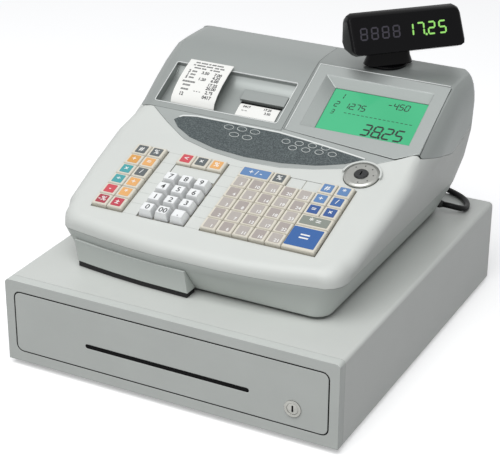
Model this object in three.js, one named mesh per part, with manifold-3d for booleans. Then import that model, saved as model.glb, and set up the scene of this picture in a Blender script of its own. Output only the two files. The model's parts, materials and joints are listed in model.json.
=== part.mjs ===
// Electronic cash register on a steel cash drawer cabinet.
// Millimetres, +X to the cashier's right, +Y to the rear, +Z up, origin on the floor under the cabinet's centre.
import * as THREE from 'three';
import { mergeVertices } from 'three/addons/utils/BufferGeometryUtils.js';
import Module from 'manifold-3d';

const wasm = await Module();
wasm.setup();

// Overall sizes
const cabinetWidth = 410;
const cabinetDepth = 450;
const cabinetHeight = 101;
const footHeight = 7;
const sheet = 1.5;
const seat = 0.3;
const overrun = 3;
const trimProud = 1.2;

// Cabinet and drawer sizes
const cabinetFillet = 5;
const frameDepth = 12;
const frameSideWidth = 10.9;
const frameRailHeight = 12.4;
const drawerPanelRadius = 7;
const drawerPanelSkin = 2.5;
const drawerGap = 1.6;
const footRadius = 9.5;
const footInset = 26;
const mediaSlotWidth = 203;
const mediaSlotHeight = 5.4;
const mediaSlotLift = 42.2;
const slotEndShare = 0.98;
const trayInset = 9.5;
const trayTopDrop = 14;
const trayLift = 15;
const latchBay = 37.9;
const rollerRadius = 8;
const rollerWidth = 7;
const rollerPinRadius = 3;
const rollerInset = 2;
const frontRollerSetback = 4;
const rearRollerSetback = 2;
const flangeGap = 3;
const railGap = 1.4;
const railWidth = 14;
const railLift = 21.5;
const railWebHeight = 19.2;
const railRearGap = 8;
const lockInset = 39.8;
const lockLift = 35.4;
const lockRingRadius = 9.7;
const lockFlange = 1.8;
const lockBarrelRadius = 6.4;
const lockBarrelLength = 9;
const lockSleeveSetback = 2;
const lockCamLength = 15;
const lockCamThickness = 1.8;

// Till sizes
const tillWall = 2.2;
const tillFloor = 2;
const tillTopDrop = 6.2;
const tillClearance = 1.2;
const tillFrontRoom = 6;
const tillCornerRadius = 4.4;
const coinColumns = 4;
const coinRows = 2;
const coinCellDepth = 78;
const billColumns = 4;
const coinScoopRadius = 26;
const clipWidth = 26;
const clipThickness = 2.4;
const clipPinRadius = 2;
const clipPinDrop = 6;
const clipPinSetback = 8;
const clipEyeWall = 2.2;
const clipBoreGap = 0.5;
const clipReachShare = 0.72;
const clipHeelShare = 0.3;

// Register sizes
const registerGap = 4.4;
const registerOffset = 4.6;
const flankSpread = 38;
const flankCurveShare = 1.87;
const flankTopLift = 132.3;
const seamLift = 42.3;
const creaseLift = 31.5;
const baseFrontSetback = 19.8;
const creaseSetback = 2.2;
const frontBulge = 6.8;
const baseRearSetback = 7;
const hoodDepth = 184.3;
const registerWall = 3;
const baseCornerRadius = 18;
const frontCornerRadius = 25;
const rearCornerRadius = 16;
const keyFrontSetback = 7.8;
const keyFrontLift = 59.4;
const keySlopeShare = 0.319;
const hoodSlopeShare = 0.535;
const hoodRise = 67.6;
const ridgeRadius = 50;
const frontRound = 9;
const rearRound = 5;
const leftRound = 30;
const rightRound = 13;
const keyRound = 16;
const shoulderDrop = 40;

// Splits of the silver hood
const coverSplitX = 12;
const coverFrontRun = 26.3;
const coverFrontRakeShare = 0.4;
const wingFrontRun = 3;
const wingFrontLift = 122.3;
const trimLowLift = 92.3;
const wingLowRun = 90;
const wingLowLift = 99.3;
const wingRearLift = 130.3;
const parting = 0.4;
const coverRearDrop = 6.6;
const coverRearGap = 2.6;

// Keyboard sizes
const keyPitchX = 19.6;
const keyPitchY = 18.2;
const keyRows = 6;
const keyFirstRow = 31.8;
const keyRearRoom = 37.778;
const keyFoot = 18.8;
const keyHead = 17.4;
const keyHeight = 4.6;
const keyChamfer = 1.2;
const tallKeyFoot = 17.4;
const tallKeyHead = 12.6;
const tallKeyHeight = 8.5;
const keyTravel = 3;
const keyDish = 0.8;
const stemSide = 6;
const stemLength = 8;
const deckThickness = 2.5;
const deckMargin = 6;
const leftColumns = 2;
const numberColumns = 3;
const rightColumns = 7;
const leftFieldGap = 17.4;
const rightFieldGap = 17.8;
const fieldShift = -2.2;
const fieldSideRoom = 15.5;
const keyRoom = 1.1;

// Mode switch and customer display sizes
const switchInset = 5.6;
const switchGap = 1.4;
const switchRadius = 20;
const switchHeight = 3.4;
const barrelRadius = 8;
const barrelHeight = 5;
const barrelBevel = 1;
const collarGap = 0.6;
const collarWall = 2.4;
const neckSideInset = 104;
const neckRearInset = 31;
const neckTurnDegrees = 46;
const neckLength = 60;
const neckThickness = 25;
const neckHeight = 18.3;
const neckDiscRadius = 22;
const neckDiscHeight = 2.2;
const neckSpigotRadius = 12;
const neckTaper = 5;
const headWidth = 142;
const headHeight = 45;
const headDepth = 43;
const headSink = 2.5;
const headOffset = 17.5;
const headForward = 4;

// Places worked out from the sizes above
const halfWidth = cabinetWidth / 2;
const halfDepth = cabinetDepth / 2;
const cabinetBottomZ = footHeight + seat;
const cabinetTopZ = cabinetBottomZ + cabinetHeight;
const bezelBackY = -halfDepth + frameDepth;
const registerBottomZ = cabinetTopZ + registerGap;
const seamZ = registerBottomZ + seamLift;
const creaseZ = registerBottomZ + creaseLift;
const keyAngle = Math.atan(keySlopeShare);
const hoodAngle = Math.atan(hoodSlopeShare);
const quarter = Math.PI / 2;

// The key fields set the register's width and the length of the keyboard
const keyFieldEnd = keyFirstRow + (keyRows - 0.5) * keyPitchY + keyRoom;
const keyboardRun = (keyFieldEnd + keyRearRoom) * Math.cos(keyAngle);
const registerDepth = keyFrontSetback + keyboardRun + hoodDepth;
const fieldWidth = (columns) => columns * keyPitchX + keyRoom * 2;
const allFieldsWidth = fieldWidth(leftColumns) + leftFieldGap + fieldWidth(numberColumns) + rightFieldGap
  + fieldWidth(rightColumns);
const firstKey = keyRoom + keyPitchX / 2;
const leftBlockX = fieldShift - allFieldsWidth / 2 + firstKey;
const numberBlockX = leftBlockX + fieldWidth(leftColumns) + leftFieldGap;
const rightBlockX = numberBlockX + fieldWidth(numberColumns) + rightFieldGap;
const baseHalfWidth = allFieldsWidth / 2 + fieldSideRoom;
const seamHalf = baseHalfWidth + flankSpread;
const seamFrontY = registerOffset - registerDepth / 2;
const registerRearY = registerOffset + registerDepth / 2;
const baseFrontY = seamFrontY + baseFrontSetback;
const creaseFrontY = seamFrontY + creaseSetback;
const baseRearY = registerRearY - baseRearSetback;
const keyFrontY = seamFrontY + keyFrontSetback;
const keyFrontZ = registerBottomZ + keyFrontLift;
const foldY = keyFrontY + keyboardRun;
const foldZ = keyFrontZ + keySlopeShare * keyboardRun;
const hoodTopZ = foldZ + hoodRise;
const flankTopZ = registerBottomZ + flankTopLift;
const coverFrontY = foldY + coverFrontRun;
const wingFrontY = coverFrontY + wingFrontRun;
const wingFrontZ = registerBottomZ + wingFrontLift;
const trimLowZ = registerBottomZ + trimLowLift;
const wingLowY = coverFrontY + wingLowRun;
const wingLowZ = registerBottomZ + wingLowLift;
const wingRearZ = registerBottomZ + wingRearLift;
const neckX = seamHalf - neckSideInset;
const neckY = registerRearY - neckRearInset;

const model = new THREE.Group();

// Plain solids from three.js geometry
function solidOf(geometry) {
  geometry.deleteAttribute('normal');
  geometry.deleteAttribute('uv');
  const merged = mergeVertices(geometry);
  const mesh = new wasm.Mesh({
    numProp: 3,
    vertProperties: merged.attributes.position.array,
    triVerts: Uint32Array.from(merged.index.array),
  });
  return new wasm.Manifold(mesh);
}

function geometryOf(solid) {
  const mesh = solid.getMesh();
  const geometry = new THREE.BufferGeometry();
  geometry.setAttribute('position', new THREE.BufferAttribute(mesh.vertProperties, 3));
  geometry.setIndex(new THREE.BufferAttribute(mesh.triVerts, 1));
  return geometry;
}

function addPiece(name, solid, finish, parent = model) {
  const mesh = new THREE.Mesh(geometryOf(solid), new THREE.MeshStandardMaterial(finish));
  mesh.name = name;
  parent.add(mesh);
  return mesh;
}

function block([x0, x1], [y0, y1], [z0, z1], matrix) {
  const geometry = new THREE.BoxGeometry(x1 - x0, y1 - y0, z1 - z0);
  geometry.translate((x0 + x1) / 2, (y0 + y1) / 2, (z0 + z1) / 2);
  if (matrix) geometry.applyMatrix4(matrix);
  return solidOf(geometry);
}

// Outline in the plane across an axis, as (Y, Z) for x, (X, Z) for y and (X, Y) for z, drawn along that axis
function prism(outline, axis, [low, high], matrix) {
  const shape = new THREE.Shape(outline.map(([a, b]) => new THREE.Vector2(a, b)));
  const geometry = new THREE.ExtrudeGeometry(shape, { depth: high - low, bevelEnabled: false });
  const turn = new THREE.Matrix4();
  if (axis === 'x') turn.set(0, 0, 1, low, 1, 0, 0, 0, 0, 1, 0, 0, 0, 0, 0, 1);
  if (axis === 'y') turn.set(1, 0, 0, 0, 0, 0, -1, high, 0, 1, 0, 0, 0, 0, 0, 1);
  if (axis === 'z') turn.makeTranslation(0, 0, low);
  geometry.applyMatrix4(turn);
  if (matrix) geometry.applyMatrix4(matrix);
  return solidOf(geometry);
}

function circle(radius, sides, [a, b] = [0, 0]) {
  return Array.from({ length: sides }, (_, i) => {
    const turn = ((i + 0.5) * 2 * Math.PI) / sides;
    return [a + radius * Math.cos(turn), b + radius * Math.sin(turn)];
  });
}

function rod(radius, sides, axis, centre, span, matrix) {
  return prism(circle(radius, sides, centre), axis, span, matrix);
}

function roundedBox([a0, a1], [b0, b1], radius, steps = 4) {
  const corners = [
    [a1 - radius, b1 - radius],
    [a0 + radius, b1 - radius],
    [a0 + radius, b0 + radius],
    [a1 - radius, b0 + radius],
  ];
  return corners.flatMap(([a, b], corner) => Array.from({ length: steps + 1 }, (_, i) => {
    const turn = quarter * (corner + i / steps);
    return [a + radius * Math.cos(turn), b + radius * Math.sin(turn)];
  }));
}

// Outline moved inwards by the same distance on every side
function insetOutline(points, inset) {
  const area = THREE.ShapeUtils.area(points.map(([x, y]) => ({ x, y })));
  const sign = Math.sign(area);
  const normal = ([ax, ay], [bx, by]) => {
    const reach = Math.hypot(bx - ax, by - ay);
    return [(-sign * (by - ay)) / reach, (sign * (bx - ax)) / reach];
  };
  return points.map((point, i) => {
    const before = normal(points[(i + points.length - 1) % points.length], point);
    const after = normal(point, points[(i + 1) % points.length]);
    const spread = 1 + before[0] * after[0] + before[1] * after[1];
    return [
      point[0] + (inset * (before[0] + after[0])) / spread,
      point[1] + (inset * (before[1] + after[1])) / spread,
    ];
  });
}

// Closed surface through rings of equal count, listed anticlockwise seen from above, lowest ring first
function loft(rings, caps = [stripCap, stripCap]) {
  const count = rings[0].length;
  const positions = rings.flat(2);
  const triangles = [];
  for (let k = 0; k + 1 < rings.length; k += 1) {
    for (let i = 0; i < count; i += 1) {
      const a = k * count + i;
      const b = k * count + ((i + 1) % count);
      triangles.push(a, b, b + count, a, b + count, a + count);
    }
  }
  const last = (rings.length - 1) * count;
  caps[0](count).forEach(([a, b, c]) => triangles.push(a, c, b));
  caps[1](count).forEach(([a, b, c]) => triangles.push(last + a, last + b, last + c));
  const geometry = new THREE.BufferGeometry();
  geometry.setAttribute('position', new THREE.Float32BufferAttribute(positions, 3));
  geometry.setIndex(triangles);
  return solidOf(geometry);
}

// Cap of a ring whose second half mirrors its first: strips run between the two halves
function stripCap(count) {
  const triangles = [];
  for (let i = 0; i + 1 < count / 2; i += 1) {
    const a = i;
    const b = i + 1;
    const c = count - 2 - i;
    const d = count - 1 - i;
    triangles.push([a, b, c], [a, c, d]);
  }
  return triangles;
}

// Frames that lie in the keyboard's slope and in the hood's slope
const keyFrame = new THREE.Matrix4().makeTranslation(0, keyFrontY, keyFrontZ)
  .multiply(new THREE.Matrix4().makeRotationX(keyAngle));
const hoodFrame = new THREE.Matrix4().makeTranslation(0, foldY, foldZ)
  .multiply(new THREE.Matrix4().makeRotationX(hoodAngle));

// Height of the register's top along its depth: keyboard slope, hood slope, round ridge, flat
const ridgeCornerY = foldY + (hoodTopZ - foldZ) / hoodSlopeShare;
const ridgeReach = ridgeRadius * Math.tan(hoodAngle / 2);
const ridgeStartY = ridgeCornerY - ridgeReach * Math.cos(hoodAngle);
const ridgeEndY = ridgeCornerY + ridgeReach;

function topHeight(y) {
  if (y < foldY) return keyFrontZ + keySlopeShare * (y - keyFrontY);
  if (y < ridgeStartY) return foldZ + hoodSlopeShare * (y - foldY);
  if (y < ridgeEndY) {
    const run = ridgeEndY - y;
    return hoodTopZ - ridgeRadius + Math.sqrt(ridgeRadius * ridgeRadius - run * run);
  }
  return hoodTopZ;
}

// Half width of the flared flank at a height
function flankAt(z) {
  const share = THREE.MathUtils.clamp((z - registerBottomZ) / (flankTopZ - registerBottomZ), 0, 1);
  return baseHalfWidth + flankSpread * (1 - (1 - share) ** flankCurveShare);
}

function blend(y, start, end) {
  return THREE.MathUtils.smoothstep(y, start, end);
}

// Plan outline of the register as pairs of corner normals and side stations, front to rear
const frontStationShares = [0.25, 0.5, 0.75];
const frontCornerTurns = [0, 1, 2, 3, 4].map((i) => (i / 4 - 1) * quarter);
const rearCornerTurns = [0, 1, 2, 3].map((i) => (i / 3) * quarter);
const sideStationShares = [0.12, 0.3, 0.46, 0.54, 0.62, 0.7, 0.78, 0.84, 0.9];

function planRing({ half, front, bulge, rear, frontCorner, rearCorner, height, along = [seamFrontY, registerRearY] }) {
  const side = (sign) => {
    const points = [];
    const add = (nx, ny, centreY, corner, cornerHalf) => {
      const x = sign * (cornerHalf - corner + nx * corner);
      const y = centreY + ny * corner;
      points.push([x, y, height(y, nx, ny, sign)]);
    };
    const width = half(sign);
    frontStationShares.forEach((share) => {
      const y = front + bulge * (2 * share * share - 1);
      points.push([sign * share * (width(front) - frontCorner), y, height(y, 0, -1, sign)]);
    });
    frontCornerTurns.forEach((t) => {
      add(Math.cos(t), Math.sin(t), front + bulge + frontCorner, frontCorner, width(front));
    });
    sideStationShares.forEach((share) => {
      const y = THREE.MathUtils.lerp(along[0], along[1], share);
      add(1, 0, y, 0, width(y));
    });
    rearCornerTurns.forEach((t) => {
      add(Math.cos(t), Math.sin(t), rear - rearCorner, rearCorner, width(rear));
    });
    return points;
  };
  return [...side(1), ...side(-1).reverse()];
}

// Whole outer form of the upper register, drawn in by a wall when it is used as a core
function upperForm(wall, bottomZ) {
  const top = (y) => topHeight(y) - wall;
  const flank = (z) => flankAt(z) - wall;
  const sideRound = (y, sign) => {
    const hood = sign > 0 ? rightRound : leftRound;
    return THREE.MathUtils.lerp(keyRound, hood, blend(y, foldY - keyRound, foldY + shoulderDrop));
  };
  const sideDrop = (y) => {
    return THREE.MathUtils.lerp(keyRound, shoulderDrop, blend(y, foldY - keyRound, foldY + shoulderDrop));
  };
  const drop = (y, nx, ny) => {
    const end = ny < 0 ? frontRound : rearRound;
    return sideDrop(y) * Math.abs(nx) + end * (1 - Math.abs(nx));
  };
  const rings = [];
  const flankShares = [0, 0.35, 0.7];
  flankShares.forEach((share) => {
    const height = (y, nx, ny) => THREE.MathUtils.lerp(bottomZ, top(y) - drop(y, nx, ny), share);
    rings.push(planRing({
      half: () => (y) => flank(THREE.MathUtils.lerp(bottomZ, top(y) - sideDrop(y), share)),
      front: seamFrontY + wall,
      bulge: frontBulge,
      rear: registerRearY - wall,
      frontCorner: frontCornerRadius - wall,
      rearCorner: rearCornerRadius - wall,
      height,
    }));
  });
  const roundTurns = [0, 1, 2, 3, 4, 5].map((i) => (i / 5) * quarter);
  roundTurns.forEach((turn) => {
    const inset = 1 - Math.cos(turn);
    const sink = 1 - Math.sin(turn);
    rings.push(planRing({
      half: (sign) => (y) => flank(top(y) - sideDrop(y)) - sideRound(y, sign) * inset,
      front: seamFrontY + wall + frontRound * inset,
      bulge: frontBulge,
      rear: registerRearY - wall - rearRound * inset,
      frontCorner: frontCornerRadius - wall - frontRound * inset / 2,
      rearCorner: rearCornerRadius - wall - rearRound * inset,
      height: (y, nx, ny) => top(y) - drop(y, nx, ny) * sink,
    }));
  });
  return loft(rings);
}

// Lower register form between two heights, from the foot line out to the seam
const lowerLevels = [
  [0, baseFrontY, 0, baseRearY, baseCornerRadius],
  [creaseLift, creaseFrontY, frontBulge, THREE.MathUtils.lerp(baseRearY, registerRearY, creaseLift / seamLift),
    frontCornerRadius],
  [seamLift, seamFrontY, frontBulge, registerRearY, frontCornerRadius],
];

function lowerForm(wall, floor, topZ) {
  return loft(lowerLevels.map(([lift, front, bulge, rear, corner]) => {
    const z = Math.min(registerBottomZ + Math.max(lift, floor), topZ);
    return planRing({
      half: () => () => flankAt(z) - wall,
      front: front + wall,
      bulge,
      rear: rear - wall,
      frontCorner: corner - wall,
      rearCorner: rearCornerRadius - wall,
      height: () => z,
      along: [front, rear],
    });
  }));
}

// Finishes
const coverFinish = { color: '#d3d6d2', roughness: 0.55, metalness: 0.1 };
const caseFinish = { color: '#dadeda', roughness: 0.5, metalness: 0 };
const rimFinish = { color: '#b5bdba', roughness: 0.5, metalness: 0 };
const silverFinish = { color: '#9a9f9c', roughness: 0.4, metalness: 0.3 };
const steelFinish = { color: '#b9bcbc', roughness: 0.35, metalness: 0.9 };
const rubberFinish = { color: '#1c1c1d', roughness: 0.8, metalness: 0 };
const blackFinish = { color: '#101112', roughness: 0.2, metalness: 0 };
const tillFinish = { color: '#6d7274', roughness: 0.6, metalness: 0 };
const paperFinish = { color: '#f3f3f1', roughness: 0.9, metalness: 0 };
const keyFinish = { color: '#f1f3f3', roughness: 0.45, metalness: 0 };
const deckFinish = { color: '#dad3c2', roughness: 0.5, metalness: 0 };
const slateFinish = { color: '#475155', roughness: 0.45, metalness: 0 };
const glassFinish = { color: '#4dc08c', roughness: 0.15, metalness: 0 };

// Cabinet cover: folded steel wrap of top, sides and rear, open at the front and underneath
const grommetX = 100;
const grommetLift = 52;
const grommetRadius = 8;
const grommetZ = cabinetBottomZ + grommetLift;

function wrapOutline(inset, bottomZ) {
  const steps = 4;
  const side = halfWidth - inset;
  const top = cabinetTopZ - inset;
  const radius = cabinetFillet - inset;
  const arc = Array.from({ length: steps + 1 }, (_, i) => {
    const turn = (quarter * i) / steps;
    return [side - radius + radius * Math.cos(turn), top - radius + radius * Math.sin(turn)];
  });
  const mirrored = arc.map(([x, z]) => [-x, z]).reverse();
  return [[side, bottomZ], ...arc, ...mirrored, [-side, bottomZ]];
}

const coverFrontFace = bezelBackY + seat;
const cabinetCover = prism(wrapOutline(0, cabinetBottomZ), 'y', [coverFrontFace, halfDepth])
  .subtract(prism(wrapOutline(sheet, cabinetBottomZ - overrun), 'y', [coverFrontFace - overrun, halfDepth - sheet]))
  .subtract(rod(grommetRadius, 20, 'y', [grommetX, grommetZ], [halfDepth - sheet - overrun, halfDepth + overrun]));
addPiece('cabinet_cover', cabinetCover, coverFinish);

// Cabinet base: floor pan with two hat rails and the pins of the front rollers
const panHalf = halfWidth - sheet - seat;
const panFrontY = bezelBackY + seat;
const panRearY = halfDepth - sheet - seat;
const panTopZ = cabinetBottomZ + sheet;
const openingHalf = halfWidth - frameSideWidth;
const panelHalf = openingHalf - drawerGap;
const trayHalf = panelHalf - trayInset;
const railInnerX = trayHalf + railGap;
const railTopZ = cabinetBottomZ + railLift;
const railWebX = railInnerX + railWidth;
const rollerZ = railTopZ + seat + rollerRadius;
const rollerX = railInnerX + rollerInset;
const rollerEndX = rollerX + rollerWidth;
const rollerBoreRadius = rollerPinRadius + seat * 2;
const frontRollerY = panFrontY + rollerRadius + frontRollerSetback;
const railRearY = panRearY - railRearGap;

let cabinetBase = block([-panHalf, panHalf], [panFrontY, panRearY], [cabinetBottomZ, panTopZ]);
[-1, 1].forEach((sign) => {
  const rail = [
    [railWebX, panTopZ - sheet / 2],
    [railWebX + sheet, panTopZ - sheet / 2],
    [railWebX + sheet, railTopZ + railWebHeight],
    [railWebX, railTopZ + railWebHeight],
    [railWebX, railTopZ],
    [railInnerX, railTopZ],
    [railInnerX, railTopZ - sheet],
    [railWebX, railTopZ - sheet],
  ].map(([x, z]) => [sign * x, z]);
  cabinetBase = cabinetBase.add(prism(rail, 'y', [panFrontY, railRearY]));
  const pinSpan = sign > 0 ? [rollerX, railWebX + sheet / 2] : [-railWebX - sheet / 2, -rollerX];
  cabinetBase = cabinetBase.add(rod(rollerPinRadius, 12, 'x', [frontRollerY, rollerZ], pinSpan));
});
addPiece('cabinet_base', cabinetBase, steelFinish);

// Rollers: two on the cabinet's rails, two on the drawer's rear end
function roller(y, sign) {
  const span = sign > 0 ? [rollerX, rollerEndX] : [-rollerEndX, -rollerX];
  const longer = [span[0] - overrun, span[1] + overrun];
  return rod(rollerRadius, 20, 'x', [y, rollerZ], span)
    .subtract(rod(rollerBoreRadius, 12, 'x', [y, rollerZ], longer));
}
addPiece('cabinet_roller_left', roller(frontRollerY, -1), keyFinish);
addPiece('cabinet_roller_right', roller(frontRollerY, 1), keyFinish);

// Front frame of the cabinet around the drawer panel
const openingX = [-openingHalf, openingHalf];
const openingZ = [cabinetBottomZ + frameRailHeight, cabinetTopZ - frameRailHeight];
const panelBottomZ = openingZ[0] + drawerGap;
const panelTopZ = openingZ[1] - drawerGap;
const frontFrame = prism(wrapOutline(0, cabinetBottomZ), 'y', [-halfDepth, bezelBackY])
  .subtract(prism(roundedBox(openingX, openingZ, drawerPanelRadius + drawerGap), 'y',
    [-halfDepth - overrun, bezelBackY + overrun]));
addPiece('cabinet_front_frame', frontFrame, rimFinish);

// Feet
[['front', -1], ['rear', 1]].forEach(([end, endSign]) => {
  [['left', -1], ['right', 1]].forEach(([side, sideSign]) => {
    const centre = [sideSign * (halfWidth - footInset), endSign * (halfDepth - footInset)];
    addPiece(`foot_${end}_${side}`, rod(footRadius, 20, 'z', centre, [0, footHeight]), rubberFinish);
  });
});

// Drawer front: panel with a folded rim, the media slot and the lock's hole
const panelBackY = bezelBackY;
const lockX = panelHalf - lockInset;
const lockZ = cabinetBottomZ + lockLift;
const slotZ = cabinetBottomZ + mediaSlotLift;
const mediaHalf = mediaSlotWidth / 2;
const mediaX = [-mediaHalf, mediaHalf];
const mediaZ = [slotZ - mediaSlotHeight / 2, slotZ + mediaSlotHeight / 2];
const panelOutline = roundedBox([-panelHalf, panelHalf], [panelBottomZ, panelTopZ], drawerPanelRadius);
const panelCore = roundedBox([-panelHalf + drawerPanelSkin, panelHalf - drawerPanelSkin],
  [panelBottomZ + drawerPanelSkin, panelTopZ - drawerPanelSkin], drawerPanelRadius - drawerPanelSkin);
const mediaEnd = (mediaSlotHeight / 2) * slotEndShare;
const lockBoreRadius = lockRingRadius - lockFlange;
const drawerFront = prism(panelOutline, 'y', [-halfDepth, panelBackY])
  .subtract(prism(panelCore, 'y', [-halfDepth + drawerPanelSkin, panelBackY + overrun]))
  .subtract(prism(roundedBox(mediaX, mediaZ, mediaEnd, 3), 'y',
    [-halfDepth - overrun, panelBackY]))
  .subtract(rod(lockBoreRadius, 24, 'y', [lockX, lockZ], [-halfDepth - overrun, panelBackY]));
addPiece('drawer_front', drawerFront, rimFinish);

// Lock: fixed ring with a sleeve, and the turning barrel with its keyway and cam
const ringFront = -halfDepth - trimProud;
const lockRearY = -halfDepth + lockBarrelLength;
const lockSleeveEnd = lockRearY - lockSleeveSetback;
const lockRing = rod(lockRingRadius, 28, 'y', [lockX, lockZ], [ringFront, -halfDepth - seat])
  .add(rod(lockBoreRadius - seat, 24, 'y', [lockX, lockZ], [ringFront, lockSleeveEnd]))
  .subtract(rod(lockBarrelRadius + seat, 24, 'y', [lockX, lockZ],
    [ringFront - overrun, lockRearY]));
addPiece('lock_ring', lockRing, steelFinish);

const keywayWidth = 1.6;
const keywayHeight = 6.4;
const keywayDepth = 5;
const lockBarrel = rod(lockBarrelRadius, 24, 'y', [lockX, lockZ],
  [ringFront + seat, lockSleeveEnd + lockCamThickness / 2])
  .add(block([lockX - lockBarrelRadius / 2, lockX + lockBarrelRadius / 2],
    [lockSleeveEnd + seat, lockSleeveEnd + lockCamThickness],
    [lockZ - lockBarrelRadius / 2, lockZ + lockCamLength]))
  .add(rod(lockBarrelRadius / 2, 12, 'y', [lockX, lockZ],
    [lockSleeveEnd, lockRearY]))
  .subtract(block([lockX - keywayWidth / 2, lockX + keywayWidth / 2], [ringFront - overrun, ringFront + keywayDepth],
    [lockZ - keywayHeight / 2, lockZ + keywayHeight / 2]));
addPiece('lock_barrel', lockBarrel, steelFinish);

// Drawer tray: steel box with runner flanges, roller pins, a front slot for media and a latch striker
const trayFrontY = panelBackY + seat;
const trayRearY = panRearY - latchBay;
const trayBottomZ = cabinetBottomZ + trayLift;
const trayTopZ = panelTopZ - trayTopDrop;
const flangeZ = rollerZ + rollerRadius + seat;
const rearRollerY = trayRearY - rollerRadius - rearRollerSetback;
const strikerWidth = 30;
const strikerReach = 11.5;
const strikerLift = 30;
const strikerPlate = 2.6;
const strikerLip = 3.6;
let tray = block([-trayHalf, trayHalf], [trayFrontY, trayRearY], [trayBottomZ, trayTopZ])
  .subtract(block([-trayHalf + sheet, trayHalf - sheet], [trayFrontY + sheet, trayRearY - sheet],
    [trayBottomZ + sheet, trayTopZ + overrun]));
[-1, 1].forEach((sign) => {
  const near = trayHalf - sheet / 2;
  const far = rollerEndX;
  const flangeX = sign > 0 ? [near, far] : [-far, -near];
  tray = tray.add(block(flangeX, [trayFrontY, rearRollerY - rollerRadius - flangeGap], [flangeZ, flangeZ + sheet]));
  const pinX = sign > 0 ? [near, far] : [-far, -near];
  tray = tray.add(rod(rollerPinRadius, 12, 'x', [rearRollerY, rollerZ], pinX));
});
tray = tray.subtract(prism(roundedBox(mediaX, mediaZ, mediaEnd, 3), 'y',
  [trayFrontY - overrun, trayFrontY + sheet + overrun]));
const strikerZ = trayBottomZ + strikerLift;
const strikerEndY = trayRearY + strikerReach;
const strikerX = [-strikerWidth / 2, strikerWidth / 2];
tray = tray.add(block(strikerX, [trayRearY - sheet / 2, strikerEndY], [strikerZ, strikerZ + strikerPlate]))
  .add(block(strikerX, [strikerEndY - strikerPlate, strikerEndY], [strikerZ, strikerZ + strikerPlate + strikerLip]));
addPiece('drawer_tray', tray, steelFinish);
addPiece('drawer_roller_left', roller(rearRollerY, -1), keyFinish);
addPiece('drawer_roller_right', roller(rearRollerY, 1), keyFinish);

// Till: moulded insert with scooped coin cups in front and note bays behind
const tillHalf = trayHalf - sheet - tillClearance;
const tillFrontY = trayFrontY + sheet + tillFrontRoom;
const tillRearY = trayRearY - sheet - tillClearance;
const tillBottomZ = trayBottomZ + sheet + seat;
const tillTopZ = trayTopZ - tillTopDrop;
const coinCellWidth = (tillHalf * 2 - tillWall * (coinColumns + 1)) / coinColumns;
const billCellWidth = (tillHalf * 2 - tillWall * (billColumns + 1)) / billColumns;
const billFrontY = tillFrontY + tillWall + coinRows * (coinCellDepth + tillWall);
const billRearY = tillRearY - tillWall;
const cellFloorZ = tillBottomZ + tillFloor;

function scoopOutline(y0, y1) {
  const radius = Math.min(coinScoopRadius, (y1 - y0) / 2 - tillWall);
  const steps = 4;
  const arc = (centreY, start) => Array.from({ length: steps + 1 }, (_, i) => {
    const turn = start + (quarter * i) / steps;
    return [centreY + radius * Math.cos(turn), cellFloorZ + radius + radius * Math.sin(turn)];
  });
  return [
    ...arc(y0 + radius, Math.PI),
    ...arc(y1 - radius, Math.PI + quarter),
    [y1, tillTopZ + overrun],
    [y0, tillTopZ + overrun],
  ];
}

let till = prism(roundedBox([-tillHalf, tillHalf], [tillFrontY, tillRearY], tillCornerRadius, 3), 'z',
  [tillBottomZ, tillTopZ]);
for (let row = 0; row < coinRows; row += 1) {
  const y0 = tillFrontY + tillWall + row * (coinCellDepth + tillWall);
  for (let column = 0; column < coinColumns; column += 1) {
    const x0 = -tillHalf + tillWall + column * (coinCellWidth + tillWall);
    till = till.subtract(prism(scoopOutline(y0, y0 + coinCellDepth), 'x', [x0, x0 + coinCellWidth]));
  }
}
const clipPinZ = tillTopZ - clipPinDrop;
const clipPinY = billRearY - clipPinSetback;
for (let column = 0; column < billColumns; column += 1) {
  const x0 = -tillHalf + tillWall + column * (billCellWidth + tillWall);
  till = till.subtract(block([x0, x0 + billCellWidth], [billFrontY, billRearY], [cellFloorZ, tillTopZ + overrun]));
  till = till.add(rod(clipPinRadius, 10, 'x', [clipPinY, clipPinZ],
    [x0 - tillWall / 2, x0 + billCellWidth + tillWall / 2]));
}
addPiece('till_insert', till, tillFinish);

// Note clips: a pressed arm on the pin, resting near the floor of its bay
const clipReach = (billRearY - billFrontY) * clipReachShare;
const clipEyeRadius = clipPinRadius + clipEyeWall;
const clipBoreRadius = clipPinRadius + clipBoreGap;
const clipEyeShares = [0.4, 0.7];
const clipHeelShares = [[1, 2], [-3, 0]];
const clipToeShares = [[2, 0], [0, 2], [0, 3], [2, 1]];
const clipRiseShares = [[-3, 1], [0, 2.4]];
for (let column = 0; column < billColumns; column += 1) {
  const centreX = -tillHalf + tillWall + billCellWidth / 2 + column * (billCellWidth + tillWall);
  const span = [centreX - clipWidth / 2, centreX + clipWidth / 2];
  const heelY = clipPinY - clipReach * clipHeelShare;
  const toeY = clipPinY - clipReach;
  const lowZ = cellFloorZ + seat * 2;
  const from = (y) => ([along, rise]) => [y + along * clipThickness, lowZ + rise * clipThickness];
  const [eyeAlong, eyeRise] = clipEyeShares.map((share) => share * clipEyeRadius);
  const arm = [
    [clipPinY - eyeAlong, clipPinZ + eyeRise],
    [clipPinY + eyeAlong, clipPinZ - eyeRise],
    ...clipHeelShares.map(from(heelY)),
    ...clipToeShares.map(from(toeY)),
    ...clipRiseShares.map(from(heelY)),
  ];
  const clip = prism(arm, 'x', span)
    .add(rod(clipEyeRadius, 14, 'x', [clipPinY, clipPinZ], span))
    .subtract(rod(clipBoreRadius, 10, 'x', [clipPinY, clipPinZ], [span[0] - overrun, span[1] + overrun]));
  addPiece(`note_clip_${column + 1}`, clip, steelFinish);
}

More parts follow.
